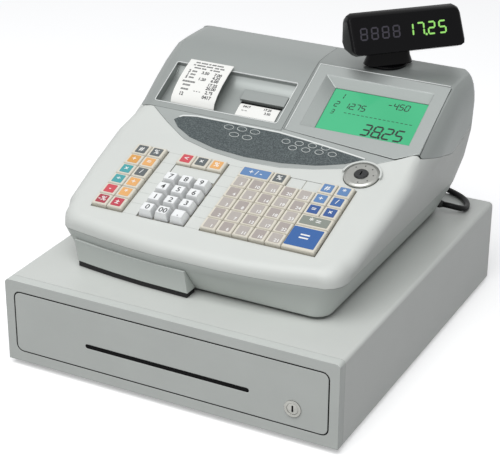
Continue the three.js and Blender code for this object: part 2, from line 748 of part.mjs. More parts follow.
// Drawer latch at the rear of the cabinet: solenoid block with two ears, and the hook on their pin
const latchDepth = 12;
const latchWidth = 46;
const latchHeight = 26;
const latchEar = 3;
const latchPinRadius = 1.8;
const latchPinSetback = 4;
const latchPinRise = 22;
const latchEarReach = 5;
const latchPinGap = 0.5;
const latchRearY = panRearY - seat;
const latchFrontY = latchRearY - latchDepth;
const latchPinY = latchFrontY - latchPinSetback;
const latchPinZ = strikerZ + latchPinRise;
const latchInner = latchWidth / 2 - latchEar;
const latchPlateY = [latchRearY - latchEar, latchRearY];
const latchFootZ = panTopZ + seat;
const solenoidX = [-latchWidth / 2, latchWidth / 2];
const solenoidY = [latchFrontY + latchPinSetback, latchRearY - latchEar / 2];
let latchBody = block(solenoidX, latchPlateY, [latchFootZ, latchPinZ + latchEarReach])
  .add(block(solenoidX, solenoidY, [latchFootZ, latchFootZ + latchHeight]));
[-1, 1].forEach((sign) => {
  const earX = sign > 0 ? [latchInner, latchWidth / 2] : [-latchWidth / 2, -latchInner];
  latchBody = latchBody.add(block(earX, [latchPinY - latchPinSetback, latchRearY - latchEar / 2],
    [latchPinZ - latchPinSetback, latchPinZ + latchEarReach]));
});
latchBody = latchBody.add(rod(latchPinRadius, 10, 'x', [latchPinY, latchPinZ],
  [-latchInner - latchEar / 2, latchInner + latchEar / 2]));
addPiece('latch_solenoid', latchBody, steelFinish);

// Hook drawn engaged in front of the striker's lip, then turned back to its released rest position
const hookSwing = THREE.MathUtils.degToRad(12);
const hookSideGap = 4;
const hookTipGap = 0.9;
const hookLipGap = 1.1;
const hookThickness = 2.8;
const hookHalf = strikerWidth / 2 - hookSideGap;
const hookTipZ = strikerZ + strikerPlate + hookTipGap;
const hookBackY = strikerEndY - strikerPlate - hookLipGap;
const hookFrontY = hookBackY - hookThickness;
const hookNeckShares = [-2.5, -0.7];
const hookEyeShares = [[-0.36, -1.5], [1.29, -0.86], [1.29, 0.86], [0.5, 1.5], [-2.14, 1.21]];
const hookEngaged = [
  [hookFrontY, hookTipZ],
  [hookBackY, hookTipZ],
  [hookBackY, latchPinZ + hookNeckShares[0] * hookThickness],
  ...hookEyeShares.map(([along, rise]) => [latchPinY + along * hookThickness, latchPinZ + rise * hookThickness]),
  [hookFrontY, latchPinZ + hookNeckShares[1] * hookThickness],
];
const hookOutline = hookEngaged.map(([y, z]) => {
  const [dy, dz] = [y - latchPinY, z - latchPinZ];
  return [
    latchPinY + dy * Math.cos(hookSwing) + dz * Math.sin(hookSwing),
    latchPinZ - dy * Math.sin(hookSwing) + dz * Math.cos(hookSwing),
  ];
});
const latchHook = prism(hookOutline, 'x', [-hookHalf, hookHalf])
  .subtract(rod(latchPinRadius + latchPinGap, 10, 'x', [latchPinY, latchPinZ], [-hookHalf - overrun, hookHalf + overrun]));
addPiece('latch_hook', latchHook, steelFinish);

// Register base: moulded tray on four pads, with posts for the printer and a lip under the seam
const baseWall = 2.6;
const padRadius = 9;
const padInset = 22;
const padSideInset = 18;
const postRadius = 5;
const postInset = 7;
const chassisLift = 83.3;
const chassisFrontGap = 8;
const chassisRearGap = 14;
const chassisSideRooms = [7.5, 3];
const pocketSplitInset = 9.5;
const journalInset = 6.5;
const journalWidth = 58;
const receiptGap = 19.5;
const receiptSlotWidth = 63;
const pocketRight = coverSplitX - pocketSplitInset;
const journalX = [pocketRight - journalInset - journalWidth, pocketRight - journalInset];
const receiptSlotX = [journalX[0] - receiptGap - receiptSlotWidth, journalX[0] - receiptGap];
const chassisX = [receiptSlotX[0] - chassisSideRooms[0], journalX[1] + chassisSideRooms[1]];
const chassisY = [coverFrontY + chassisFrontGap, registerRearY - chassisRearGap];
const chassisFloorZ = registerBottomZ + chassisLift;
const baseTopZ = seamZ - seat;
let registerBase = lowerForm(0, 0, baseTopZ)
  .subtract(lowerForm(baseWall, baseWall, baseTopZ + overrun));
[-1, 1].forEach((sx) => {
  [baseFrontY + padInset, baseRearY - padInset].forEach((y) => {
    registerBase = registerBase.add(rod(padRadius, 20, 'z', [sx * (baseHalfWidth - padSideInset), y],
      [cabinetTopZ + seat, registerBottomZ + baseWall / 2]));
  });
});
chassisX.forEach((x, i) => {
  chassisY.forEach((y, j) => {
    const centre = [x + (i ? -1 : 1) * postInset, y + (j ? -1 : 1) * postInset];
    registerBase = registerBase.add(rod(postRadius, 10, 'z', centre,
      [registerBottomZ + baseWall / 2, chassisFloorZ - seat]));
  });
});
const reliefInset = 9;
const reliefY = baseRearY - reliefInset;
const reliefLift = 7.8;
const reliefZ = registerBottomZ + reliefLift;
const reliefRadius = 5;
const reliefLength = 4;
const reliefWallX = flankAt(reliefZ);
registerBase = registerBase.subtract(rod(reliefRadius + seat, 16, 'x', [reliefY, reliefZ],
  [reliefWallX - baseWall * 3, reliefWallX + overrun * 2]));
addPiece('register_base', registerBase, rimFinish);

// Front cover on the left of the base, standing proud of the sloping front
const frontCoverInset = 4.5;
const frontCoverWidth = 148;
const frontCoverLift = 2;
const frontCoverWall = 2.4;
const frontCoverProud = 1.6;
const frontCoverLean = 6.4;
const frontCoverLap = 6;
const frontCoverX = [frontCoverInset - baseHalfWidth, frontCoverInset - baseHalfWidth + frontCoverWidth];
const frontCoverZ = [registerBottomZ + frontCoverLift, creaseZ - seat];
const frontCoverShares = [0, 0.15, 0.35, 0.6, 1];
const frontCoverApexY = creaseFrontY - frontBulge - frontCoverProud;
function frontCoverForm(wall, lapY) {
  const [lowZ, highZ] = [frontCoverZ[0] + wall, frontCoverZ[1] - wall];
  return loft(frontCoverShares.map((share) => {
    const x = THREE.MathUtils.lerp(frontCoverX[0] + wall, frontCoverX[1] - wall, share);
    const y = frontCoverApexY + wall + frontBulge * 2 * (x / baseHalfWidth) ** 2;
    return [[x, lapY, lowZ], [x, lapY, highZ], [x, y, highZ], [x, y + frontCoverLean, lowZ]];
  }));
}
const frontCover = frontCoverForm(0, baseFrontY + frontCoverLap)
  .subtract(frontCoverForm(frontCoverWall, baseFrontY + frontCoverLap + overrun))
  .subtract(lowerForm(-seat, 0, seamZ + overrun));
addPiece('front_cover', frontCover, rimFinish);

// Register's upper shell and the regions that the white case, the silver hood and the trim share
const shellTop = hoodTopZ + overrun * 4;
const upperShell = upperForm(0, seamZ).subtract(upperForm(registerWall, seamZ - overrun));
const farX = seamHalf + overrun * 4;
const farY = registerRearY + overrun * 4;
const frameDip = -53;
const seamCurveShares = [
  [-1, 0], [-0.815, 0], [-0.667, 0.34], [-0.49, 0.7], [-0.281, 0.906], [-0.052, 1],
  [0.188, 0.962], [0.39, 0.81], [0.568, 0.6], [0.7, 0.4], [0.8177, 0.17], [0.938, -0.09],
];
const seamCurve = seamCurveShares.map(([x, y]) => [x * seamHalf, coverFrontY + y * frameDip]);
const silverPlan = (shift) => [
  [-farX, coverFrontY + shift],
  ...seamCurve.map(([x, y]) => [x, y + shift]),
  [farX, seamCurve[seamCurve.length - 1][1] + shift],
  [farX, farY],
  [-farX, farY],
];
const wingSide = (shift) => [
  [seamFrontY, trimLowZ],
  [coverFrontY, trimLowZ],
  [coverFrontY, wingFrontZ + shift],
  [wingFrontY, wingFrontZ + shift],
  [wingLowY, wingLowZ + shift],
  [registerRearY + overrun * 4, wingRearZ + shift],
  [farY, shellTop],
  [seamFrontY, shellTop],
];
const silverRegion = (shift) => prism(silverPlan(shift), 'z', [seamZ - overrun, shellTop])
  .intersect(prism(wingSide(shift), 'x', [-farX, farX]));

// Keyboard blocks: columns, rows and the case opening of each
const rowY = (row) => keyFirstRow + (keyRows - 1 - row) * keyPitchY;
const blocks = [
  { x: leftBlockX, columns: leftColumns },
  { x: numberBlockX, columns: numberColumns },
  { x: rightBlockX, columns: rightColumns },
].map(({ x, columns }) => ({
  x,
  columns,
  spanX: [x - keyPitchX / 2 - keyRoom, x + (columns - 0.5) * keyPitchX + keyRoom],
  spanY: [rowY(keyRows - 1) - keyPitchY / 2 - keyRoom, rowY(0) + keyPitchY / 2 + keyRoom],
}));

const collarRadius = switchRadius + collarGap;
const switchX = blocks[2].spanX[1] - switchInset;
const switchRise = keyFieldEnd + switchGap + collarRadius + collarWall;
const switchCentre = [switchX, switchRise];
let upperCase = upperShell.subtract(silverRegion(-parting));
blocks.forEach(({ spanX, spanY }) => {
  upperCase = upperCase.subtract(block(spanX, spanY, [-registerWall * 3, overrun * 4], keyFrame));
});
upperCase = upperCase.add(rod(collarRadius + collarWall, 32, 'z', switchCentre, [-registerWall, switchHeight], keyFrame)
  .subtract(block([switchX - switchRadius * 2, switchX + switchRadius * 2],
    [switchRise - switchRadius * 2, switchRise], [-registerWall * 3, overrun * 4], keyFrame)));
upperCase = upperCase.subtract(rod(collarRadius, 32, 'z', switchCentre, [-registerWall * 3, overrun * 4], keyFrame));
addPiece('upper_case', upperCase, caseFinish);

// Keys: tapered caps with a dished top, either on their own stems or moulded on the deck
function keyCap([cx, cy], width, depth, headInset, [bottom, shoulder, top], dish) {
  const rectangle = (inset, z) => [
    [cx + width / 2 - inset, cy - depth / 2 + inset, z],
    [cx + width / 2 - inset, cy + depth / 2 - inset, z],
    [cx - width / 2 + inset, cy + depth / 2 - inset, z],
    [cx - width / 2 + inset, cy - depth / 2 + inset, z],
  ];
  const rings = [rectangle(0, bottom), rectangle(0, shoulder), rectangle(headInset, top)];
  if (dish) rings.push(rectangle(headInset + keyDish * 2, top - dish));
  return loft(rings);
}

const deckTop = -registerWall - seat;
const wellDepth = 1.7;
const capBottom = deckTop - wellDepth + keyTravel + seat;
const keyInset = (keyFoot - keyHead) / 2;
const keyGap = keyPitchX - keyFoot;
const tallInset = (tallKeyFoot - tallKeyHead) / 2;
const tallKeyGap = keyPitchX - tallKeyFoot;
const deckX = [blocks[0].spanX[0] - deckMargin, blocks[2].spanX[1] + deckMargin];
const deckY = [blocks[0].spanY[0] - deckMargin, blocks[0].spanY[1] + deckMargin];
let deck = block(deckX, deckY, [deckTop - deckThickness, deckTop]);

const cellCentre = (blockX, column, row, columns = 1, rows = 1) => [
  blockX + (column + (columns - 1) / 2) * keyPitchX,
  rowY(row + (rows - 1) / 2),
];
function mouldKey(blockX, column, row, columns = 1, height = keyHeight) {
  const centre = cellCentre(blockX, column, row, columns);
  const levels = [deckTop - seat, height - keyChamfer, height];
  deck = deck.add(keyCap(centre, columns * keyPitchX - keyGap, keyPitchY - keyGap, keyInset, levels, 0));
}
for (let row = 0; row < keyRows; row += 1) {
  mouldKey(leftBlockX, 0, row);
  mouldKey(leftBlockX, 1, row);
}
for (let column = 0; column < 3; column += 1) mouldKey(numberBlockX, column, 0);
mouldKey(numberBlockX, 0, 1, 3, seat);
mouldKey(rightBlockX, 0, 0, 2);
mouldKey(rightBlockX, 2, 0);
mouldKey(rightBlockX, 3, 0, 2, seat);
for (let row = 0; row < 3; row += 1) {
  mouldKey(rightBlockX, 5, row);
  mouldKey(rightBlockX, 6, row);
}
for (let row = 1; row < keyRows; row += 1) {
  for (let column = 0; column < 5; column += 1) mouldKey(rightBlockX, column, row);
}

// Separate keys with stems that run in guides through the deck
const separateKeys = [
  ...['0', '00', 'point', '1', '2', '3', '4', '5', '6', '7', '8', '9'].map((name, i) => ({
    name: `key_${name}`, x: numberBlockX, column: i % 3, row: keyRows - 1 - Math.floor(i / 3), tall: true,
  })),
  { name: 'key_subtotal', x: rightBlockX, column: 5, row: 3, columns: 2 },
  { name: 'key_tender', x: rightBlockX, column: 5, row: 4, columns: 2, rows: 2 },
];
const keyGroup = new THREE.Group();
keyGroup.applyMatrix4(keyFrame);
model.add(keyGroup);
separateKeys.forEach(({ name, x, column, row, columns = 1, rows = 1, tall = false }) => {
  const [cx, cy] = cellCentre(x, column, row, columns, rows);
  const gap = tall ? tallKeyGap : keyGap;
  const width = columns * keyPitchX - gap;
  const depth = rows * keyPitchY - gap;
  const wellX = [cx - (width + gap) / 2, cx + (width + gap) / 2];
  const wellY = [cy - (depth + gap) / 2, cy + (depth + gap) / 2];
  const stem = [-stemSide / 2, stemSide / 2];
  const guide = [-stemSide / 2 - seat, stemSide / 2 + seat];
  deck = deck.subtract(block(wellX, wellY, [deckTop - wellDepth, deckTop + overrun]));
  deck = deck.subtract(block(guide.map((v) => v + cx), guide.map((v) => v + cy),
    [deckTop - deckThickness - overrun, deckTop + overrun]));
  const levels = tall
    ? [capBottom, capBottom + keyDish, tallKeyHeight]
    : [capBottom, keyHeight - keyChamfer, keyHeight];
  const cap = keyCap([0, 0], width, depth, tall ? tallInset : keyInset, levels, tall ? keyDish : 0)
    .add(block(stem, stem, [deckTop - stemLength, capBottom + keyDish]));
  const mesh = addPiece(name, cap, keyFinish, keyGroup);
  mesh.position.set(cx, cy, 0);
});
addPiece('key_deck', deck, deckFinish, keyGroup);

// Mode switch: fixed dial plate with a rim, and the barrel that a key turns
const dialBevel = 2.6;
const dialFoot = -registerWall;
function cone(radiusLow, radiusHigh, sides, low, high, centre, matrix) {
  const geometry = new THREE.CylinderGeometry(radiusHigh, radiusLow, high - low, sides);
  geometry.rotateX(quarter);
  geometry.translate(centre[0], centre[1], (low + high) / 2);
  if (matrix) geometry.applyMatrix4(matrix);
  return solidOf(geometry);
}
const modePlate = rod(switchRadius, 32, 'z', [0, 0], [dialFoot, switchHeight - dialBevel / 2])
  .add(cone(switchRadius - seat, switchRadius - dialBevel, 32, switchHeight - dialBevel / 2 - seat, switchHeight, [0, 0]))
  .subtract(rod(barrelRadius + seat, 20, 'z', [0, 0], [dialFoot - overrun, switchHeight + overrun]));
const modePlateMesh = addPiece('mode_switch_plate', modePlate, silverFinish, keyGroup);
modePlateMesh.position.set(switchX, switchRise, 0);
const modeBarrel = rod(barrelRadius, 20, 'z', [0, 0], [dialFoot - overrun * 2, barrelHeight - barrelBevel])
  .add(cone(barrelRadius - seat, barrelRadius - barrelBevel, 20, barrelHeight - barrelBevel - seat, barrelHeight, [0, 0]))
  .subtract(block([-keywayWidth / 2, keywayWidth / 2], [-keywayHeight / 2, keywayHeight / 2],
    [barrelHeight - keywayDepth, barrelHeight + overrun]));
const modeBarrelMesh = addPiece('mode_switch_barrel', modeBarrel, blackFinish, keyGroup);
modeBarrelMesh.position.set(switchX, switchRise, 0);

// Label frame and label: the crescent trim between the case and the hood
const trimRearShares = [[0.0729, -0.0415], [0.8177, 0.17], [0.9479, -0.1019]];
const trimRearLine = [
  [-farX, coverFrontY],
  [coverSplitX, coverFrontY],
  ...trimRearShares.map(([x, y]) => [x * seamHalf, coverFrontY + y * frameDip]),
];
const trimPlan = [...seamCurve.slice(1, -2), ...trimRearLine.slice(1, -1).reverse()];
const trimCut = rod(collarRadius + collarWall + seat, 32, 'z', switchCentre,
  [-registerWall * 3, overrun * 6], keyFrame);
const crescentShares = [
  [-0.635, 0.24], [-0.6, 0.11], [-0.5, 0.06], [-0.3, 0.06], [0.06, 0.06], [0.25, 0.12], [0.45, 0.2], [0.648, 0.29],
  [0.55, 0.5], [0.38, 0.7], [0.18, 0.83], [-0.052, 0.87], [-0.27, 0.8], [-0.47, 0.61], [-0.58, 0.42],
];
const crescent = crescentShares.map(([x, y]) => [x * seamHalf, coverFrontY + y * frameDip]);
const labelDepth = 1.2;
const trimZ = [seamZ, shellTop];
const labelFrame = upperShell.intersect(prism(trimPlan, 'z', trimZ))
  .subtract(prism(crescent, 'z', trimZ).subtract(upperForm(labelDepth, seamZ - overrun)))
  .subtract(trimCut);
addPiece('label_frame', labelFrame, silverFinish);
const labelPanel = upperForm(0, seamZ)
  .subtract(upperForm(labelDepth - seat, seamZ - overrun))
  .intersect(prism(insetOutline(crescent, seat), 'z', trimZ))
  .subtract(trimCut);
addPiece('label_panel', labelPanel, slateFinish);

// Hood pieces share the rear of the trim line
const hoodPlan = (shift) => [
  [-farX, coverFrontY + shift],
  [coverSplitX, coverFrontY + shift],
  ...trimRearLine.slice(2).map(([x, y]) => [x, y + shift]),
  [farX, trimRearLine[4][1] + shift],
  [farX, farY],
  [-farX, farY],
];
const hoodShell = upperShell.intersect(silverRegion(0)).intersect(prism(hoodPlan(parting), 'z', trimZ));

// Printer cover: left of the split, hinged at the rear, with the sunk printer pocket and its two paper ways
const pocketLeftRoom = 15.5;
const pocketSetback = 38.5;
const pocketLength = 64.5;
const pocketX = [receiptSlotX[0] - pocketLeftRoom, pocketRight];
const pocketY = [pocketSetback, pocketSetback + pocketLength];
const pocketDepth = 11;
const pocketWall = 2.4;
const pocketRound = 20;
const pocketRiseShare = 0.9;
const coverRearZ = hoodTopZ - coverRearDrop;
const rearWallTopZ = coverRearZ - coverRearGap;
const rearWallY = registerRearY - registerWall - rearCornerRadius;

function pocketOutline(grow, topZ) {
  const steps = 4;
  const y1 = pocketY[1] + grow;
  const floorZ = -pocketDepth - grow;
  const radiusY = pocketRound + grow;
  const radiusZ = (pocketDepth + grow) * pocketRiseShare;
  const arc = Array.from({ length: steps + 1 }, (_, i) => {
    const turn = (quarter * i) / steps;
    return [y1 - radiusY + radiusY * Math.sin(turn), floorZ + radiusZ * (1 - Math.cos(turn))];
  });
  return [[pocketY[0] - grow, floorZ], ...arc, [y1, topZ], [pocketY[0] - grow, topZ]];
}
const coverRegion = prism([
  [coverFrontY + parting - coverFrontRakeShare * overrun, topHeight(coverFrontY) + overrun],
  [coverFrontY + parting + coverFrontRakeShare * (topHeight(coverFrontY) - wingLowZ), wingLowZ - overrun],
  [farY, wingLowZ - overrun],
  [farY, shellTop],
  [coverFrontY + parting - coverFrontRakeShare * overrun, shellTop],
], 'x', [-farX, coverSplitX - parting]);
const rearCut = block([-farX, farX], [rearWallY, farY], [seamZ, coverRearZ]);
const pocketBox = prism(pocketOutline(pocketWall, -seat), 'x',
  [pocketX[0] - pocketWall, pocketX[1] + pocketWall], hoodFrame).intersect(upperForm(seat, seamZ));
const pocketHollow = prism(pocketOutline(0, overrun * 4), 'x', pocketX, hoodFrame);
const slotDepth = 4.6;
const slotFrontY = pocketY[0];
const paperWay = (spanX) => block(spanX, [slotFrontY, slotFrontY + slotDepth], [-pocketDepth * 2, 0], hoodFrame);
const visorHeight = 3.4;
const visorSetback = 32;
const visorDepth = 15;
const journalWayInset = 2;
const visorY = [pocketY[0] + visorSetback, pocketY[0] + visorSetback + visorDepth];
const visor = block([journalX[0], journalX[1]], visorY, [-pocketDepth - pocketWall / 2, visorHeight - pocketDepth],
  hoodFrame);
const journalWay = block([journalX[0] + journalWayInset, journalX[1] - journalWayInset], [visorY[0] - slotDepth, visorY[0]],
  [-pocketDepth * 2, 0], hoodFrame);
const printerCover = hoodShell.add(pocketBox).intersect(coverRegion)
  .subtract(rearCut)
  .subtract(pocketHollow)
  .add(visor)
  .subtract(paperWay(receiptSlotX))
  .subtract(journalWay);
addPiece('printer_cover', printerCover, silverFinish);

// Fixed hood: right shoulder, flat top with the customer display's well, and the wall behind the printer
const bezelSplitGap = 2;
const bezelSideInset = 11.4;
const bezelSetback = 32.5;
const bezelRearGap = 8.91;
const bezelReach = 20.5;
const bezelShares = [[0, 0], [0.8523, -0.11], [1, 0.02], [1, 0.975], [0, 1]];
const bezelRear = (neckY - neckDiscRadius - foldY) / Math.cos(hoodAngle) - bezelRearGap;
const bezelLength = bezelRear - bezelSetback;
const bezelX = [coverSplitX + bezelSplitGap, seamHalf - bezelSideInset];
const bezelOutline = bezelShares.map(([x, y]) => [
  THREE.MathUtils.lerp(bezelX[0], bezelX[1], x),
  bezelSetback + y * bezelLength,
]);
const bezelInset = insetOutline(bezelOutline, seat);
const bezelOpening = [
  ...bezelOutline.slice(0, 2).map(([x, y]) => [x, y - bezelReach]),
  [farX, bezelOutline[2][1] - bezelReach],
  [farX, bezelOutline[2][1]],
  ...bezelOutline.slice(2),
];
const funnelDepth = 9;
const bezelLow = -funnelDepth;
const hoodRegion = block([coverSplitX, farX], [-farY, farY], [seamZ, shellTop])
  .add(block([-farX, coverSplitX + parting], [rearWallY + parting, farY], [seamZ, rearWallTopZ]));
const wellRadius = neckSpigotRadius + seat;
const wellWall = 2.4;
const wellDepthZ = 14;
const wellSpan = [hoodTopZ - wellDepthZ, hoodTopZ + overrun * 2];
const fixedHood = hoodShell.intersect(hoodRegion)
  .add(rod(wellRadius + wellWall, 24, 'z', [neckX, neckY], [hoodTopZ - wellDepthZ, hoodTopZ - registerWall / 2]))
  .subtract(rod(wellRadius, 24, 'z', [neckX, neckY], [wellSpan[0] + wellWall, wellSpan[1]]))
  .subtract(prism(bezelOpening, 'z', [-overrun * 8, overrun * 4], hoodFrame));
addPiece('fixed_hood', fixedHood, silverFinish);

// Display bezel: flat frame with a funnel down to the display window
const recessInsets = [16, 16.1];
const recessSetback = 10.9;
const recessRearInset = 16;
const windowInsets = [15, 1.5];
const windowSetback = 3.6;
const windowRearInset = 11;
const recessX = [bezelX[0] + recessInsets[0], bezelX[1] - recessInsets[1]];
const recessY = [bezelSetback + recessSetback, bezelRear - recessRearInset];
const windowX = [recessX[0] + windowInsets[0], recessX[1] - windowInsets[1]];
const windowY = [recessY[0] + windowSetback, recessY[1] - windowRearInset];
const funnelWall = 2;
function funnel(grow, top, bottom) {
  const ring = ([x0, x1], [y0, y1], inset, z) => [
    [x1 + inset, y0 - inset, z], [x1 + inset, y1 + inset, z], [x0 - inset, y1 + inset, z], [x0 - inset, y0 - inset, z],
  ];
  const geometryRings = [ring(windowX, windowY, grow, bottom), ring(recessX, recessY, grow, top)];
  const lifted = geometryRings.map((points) => points.map(([x, y, z]) => {
    return new THREE.Vector3(x, y, z).applyMatrix4(hoodFrame).toArray();
  }));
  return loft(lifted);
}
const bezelPlate = prism(bezelInset, 'z', [-registerWall, 0], hoodFrame);
const displayBezel = bezelPlate.add(funnel(funnelWall, -seat, bezelLow))
  .subtract(funnel(0, 0, bezelLow - seat))
  .subtract(block(windowX, windowY, [bezelLow - overrun, bezelLow + overrun], hoodFrame))
  .subtract(block(recessX, recessY, [-seat, overrun], hoodFrame));
addPiece('display_bezel', displayBezel, silverFinish);

const lcdThickness = 3;
const lcdMargin = 2;
const lcd = block([windowX[0] - lcdMargin, windowX[1] + lcdMargin], [windowY[0] - lcdMargin, windowY[1] + lcdMargin],
  [bezelLow - seat - lcdThickness, bezelLow - seat], hoodFrame);
addPiece('display_glass', lcd, glassFinish);

// Printer: chassis with cheeks, platen, paper rolls and the journal's take-up spool
const cheekThickness = 2.5;
const rollRadius = 27;
const rollRearGap = 36;
const rollGap = 0.6;
const rollBoreGap = 0.42;
const platenRadius = 5;
const platenSetback = 18;
const platenLift = 22;
const spoolRadius = 9;
const spoolGap = 2.7;
const spoolLift = 36;
const pinRadius = 2.4;
const cheekCrown = 8;
const cheekRearRun = 22;
const cheekFrontRun = 14;
const cheekNose = 6;
const cheekNoseRise = 9;
const rollY = chassisY[1] - rollRearGap;
const rollZ = chassisFloorZ + cheekThickness + rollRadius + rollGap;
const platenY = chassisY[0] + platenSetback;
const platenZ = chassisFloorZ + platenLift;
const spoolY = rollY - rollRadius - spoolRadius - spoolGap;
const spoolZ = chassisFloorZ + spoolLift;
const cheekOutline = [
  [chassisY[0], chassisFloorZ],
  [chassisY[1], chassisFloorZ],
  [chassisY[1], rollZ + cheekCrown],
  [spoolY + cheekRearRun, spoolZ + cheekCrown],
  [spoolY - cheekFrontRun, spoolZ + cheekCrown],
  [chassisY[0] + cheekNose, platenZ + cheekNoseRise],
  [chassisY[0], platenZ - cheekNose],
];
const cheekXs = [
  receiptSlotX[0] - cheekThickness - rollGap, receiptSlotX[1] + rollGap,
  journalX[0] - cheekThickness - rollGap, journalX[1] + rollGap,
];
let chassis = block(chassisX, chassisY, [chassisFloorZ, chassisFloorZ + cheekThickness]);
cheekXs.forEach((x) => {
  chassis = chassis.add(prism(cheekOutline, 'x', [x, x + cheekThickness]));
});
chassis = chassis.subtract(rod(platenRadius + seat * 2, 16, 'x', [platenY, platenZ],
  [cheekXs[0] + cheekThickness / 2, cheekXs[3] + cheekThickness / 2]));
chassis = chassis.add(rod(pinRadius, 10, 'x', [rollY, rollZ], [cheekXs[0] + cheekThickness / 2, cheekXs[1] + cheekThickness / 2]))
  .add(rod(pinRadius, 10, 'x', [rollY, rollZ], [cheekXs[2] + cheekThickness / 2, cheekXs[3] + cheekThickness / 2]))
  .add(rod(pinRadius, 10, 'x', [spoolY, spoolZ], [cheekXs[2] + cheekThickness / 2, cheekXs[3] + cheekThickness / 2]));
addPiece('printer_chassis', chassis, steelFinish);

function ring(outer, inner, [y, z], [x0, x1], sides) {
  return rod(outer, sides, 'x', [y, z], [x0, x1])
    .subtract(rod(inner, 12, 'x', [y, z], [x0 - overrun, x1 + overrun]));
}
addPiece('receipt_roll', ring(rollRadius, pinRadius + rollBoreGap, [rollY, rollZ], receiptSlotX, 28), paperFinish);
addPiece('journal_roll', ring(rollRadius, pinRadius + rollBoreGap, [rollY, rollZ], journalX, 28), paperFinish);
addPiece('take_up_spool', ring(spoolRadius, pinRadius + rollBoreGap, [spoolY, spoolZ], journalX, 20), tillFinish);
addPiece('platen_roller', rod(platenRadius, 16, 'x', [platenY, platenZ],
  [cheekXs[0] + cheekThickness / 2 + seat, cheekXs[3] + cheekThickness / 2 - seat]), rubberFinish);

// Receipt: strip of paper standing out of its slot and lying back over the pocket
const paperThickness = 0.8;
const receiptWidth = 58;
const receiptReach = 63.9;
const receiptShares = [
  [-0.0063, -1.3182], [-0.0047, -1], [0.0203, -0.4545], [0.0923, -0.0545],
  [0.2488, 0.2545], [0.4836, 0.4364], [0.7653, 0.4455], [1, 0.3273],
];
const receiptPath = receiptShares.map(([along, rise]) => [
  slotFrontY + slotDepth + along * receiptReach,
  rise * pocketDepth,
]);
const receiptUpper = receiptPath.map(([y, z], i) => {
  const [y0, z0] = receiptPath[Math.max(i - 1, 0)];
  const [y1, z1] = receiptPath[Math.min(i + 1, receiptPath.length - 1)];
  const reach = Math.hypot(y1 - y0, z1 - z0);
  return [y - (paperThickness * (z1 - z0)) / reach, z + (paperThickness * (y1 - y0)) / reach];
});
const receiptMiddle = (receiptSlotX[0] + receiptSlotX[1]) / 2;
const receipt = prism([...receiptPath, ...receiptUpper.reverse()], 'x',
  [receiptMiddle - receiptWidth / 2, receiptMiddle + receiptWidth / 2], hoodFrame);
addPiece('receipt_paper', receipt, paperFinish);

// Customer display: turntable neck in the hood's well, and the leaning display head on it
const displayGroup = new THREE.Group();
displayGroup.position.set(neckX, neckY, hoodTopZ);
displayGroup.rotation.z = THREE.MathUtils.degToRad(neckTurnDegrees);
model.add(displayGroup);
const neckTop = neckDiscHeight + seat + neckHeight;
const neckRoundShare = 0.96;
const neckRound = (neckThickness / 2) * neckRoundShare;
const neckOutline = (grow) => roundedBox([-neckLength / 2 - grow, neckLength / 2 + grow],
  [-neckThickness / 2 - grow, neckThickness / 2 + grow], neckRound + grow, 4);
const neckLevelShares = [[0.6, 0.5], [1, 1]];
const neckLevels = [[0, neckDiscHeight + seat], ...neckLevelShares.map(([taper, rise]) => [-taper * neckTaper, rise * neckTop])];
const neckRings = neckLevels.map(([grow, z]) => neckOutline(grow).map(([x, y]) => [x, y, z]));
const fanCap = (count) => Array.from({ length: count - 2 }, (_, i) => [0, i + 1, i + 2]);
const neck = loft(neckRings, [fanCap, fanCap])
  .add(rod(neckDiscRadius, 28, 'z', [0, 0], [seat, neckDiscHeight + seat * 2]))
  .add(rod(neckSpigotRadius, 24, 'z', [0, 0], [-wellDepthZ + wellWall + seat, seat * 2]));
addPiece('display_neck', neck, blackFinish, displayGroup);

const headBottom = neckTop - headSink;
const headProfileShares = [
  [-0.5, 0.1333], [-0.3372, 0], [0.2442, 0], [0.5, 0.1111],
  [-0.0488, 0.9556], [-0.1419, 1], [-0.314, 1], [-0.5, 0.8444],
];
const headProfile = headProfileShares.map(([along, rise]) => [along * headDepth, rise * headHeight]).reverse();
const headMiddleShares = [-0.06, 0.47];
const headMiddle = [headMiddleShares[0] * headDepth, headMiddleShares[1] * headHeight];
const headStationShares = [[-1, 0.72], [-0.97, 0.9], [-0.9, 1], [0.9, 1], [0.97, 0.9], [1, 0.72]];
const headRings = headStationShares.map(([along, scale]) => headProfile.map(([front, up]) => {
  const y = -headForward - headMiddle[0] - (front - headMiddle[0]) * scale;
  const z = headMiddle[1] + (up - headMiddle[1]) * scale;
  return [headOffset + (along * headWidth) / 2, y, headBottom + z];
}));
const head = loft(headRings, [fanCap, fanCap]).subtract(loft(neckRings, [fanCap, fanCap])
  .add(prism(neckOutline(seat * 2 - neckTaper), 'z', [neckTop / 2, neckTop + seat])));
addPiece('display_head', head, blackFinish, displayGroup);

// Drawer cable: from the relief in the register's flank, round on the cabinet and over its rear edge
const cableDiameter = 7;
const reliefFlange = 1;
const reliefTipWall = 0.4;
const reliefTipX = reliefWallX + reliefLength;
const relief = rod(reliefRadius, 16, 'x', [reliefY, reliefZ], [reliefWallX - baseWall * 2, reliefWallX + reliefFlange])
  .add(coneX(reliefRadius - seat, cableDiameter / 2 + reliefTipWall, 16, reliefWallX - seat, reliefTipX,
    [reliefY, reliefZ]));
addPiece('cable_relief', relief, rubberFinish);

function coneX(radiusLow, radiusHigh, sides, low, high, [y, z]) {
  const geometry = new THREE.CylinderGeometry(radiusHigh, radiusLow, high - low, sides);
  geometry.rotateZ(-quarter);
  geometry.translate((low + high) / 2, y, z);
  return solidOf(geometry);
}

const grommetFlange = 4;
const grommet = rod(grommetRadius - seat, 20, 'y', [grommetX, grommetZ],
  [halfDepth - sheet - grommetFlange, halfDepth + trimProud])
  .add(rod(grommetRadius + grommetFlange, 20, 'y', [grommetX, grommetZ], [halfDepth + seat, halfDepth + trimProud]));
addPiece('cable_grommet', grommet, rubberFinish);

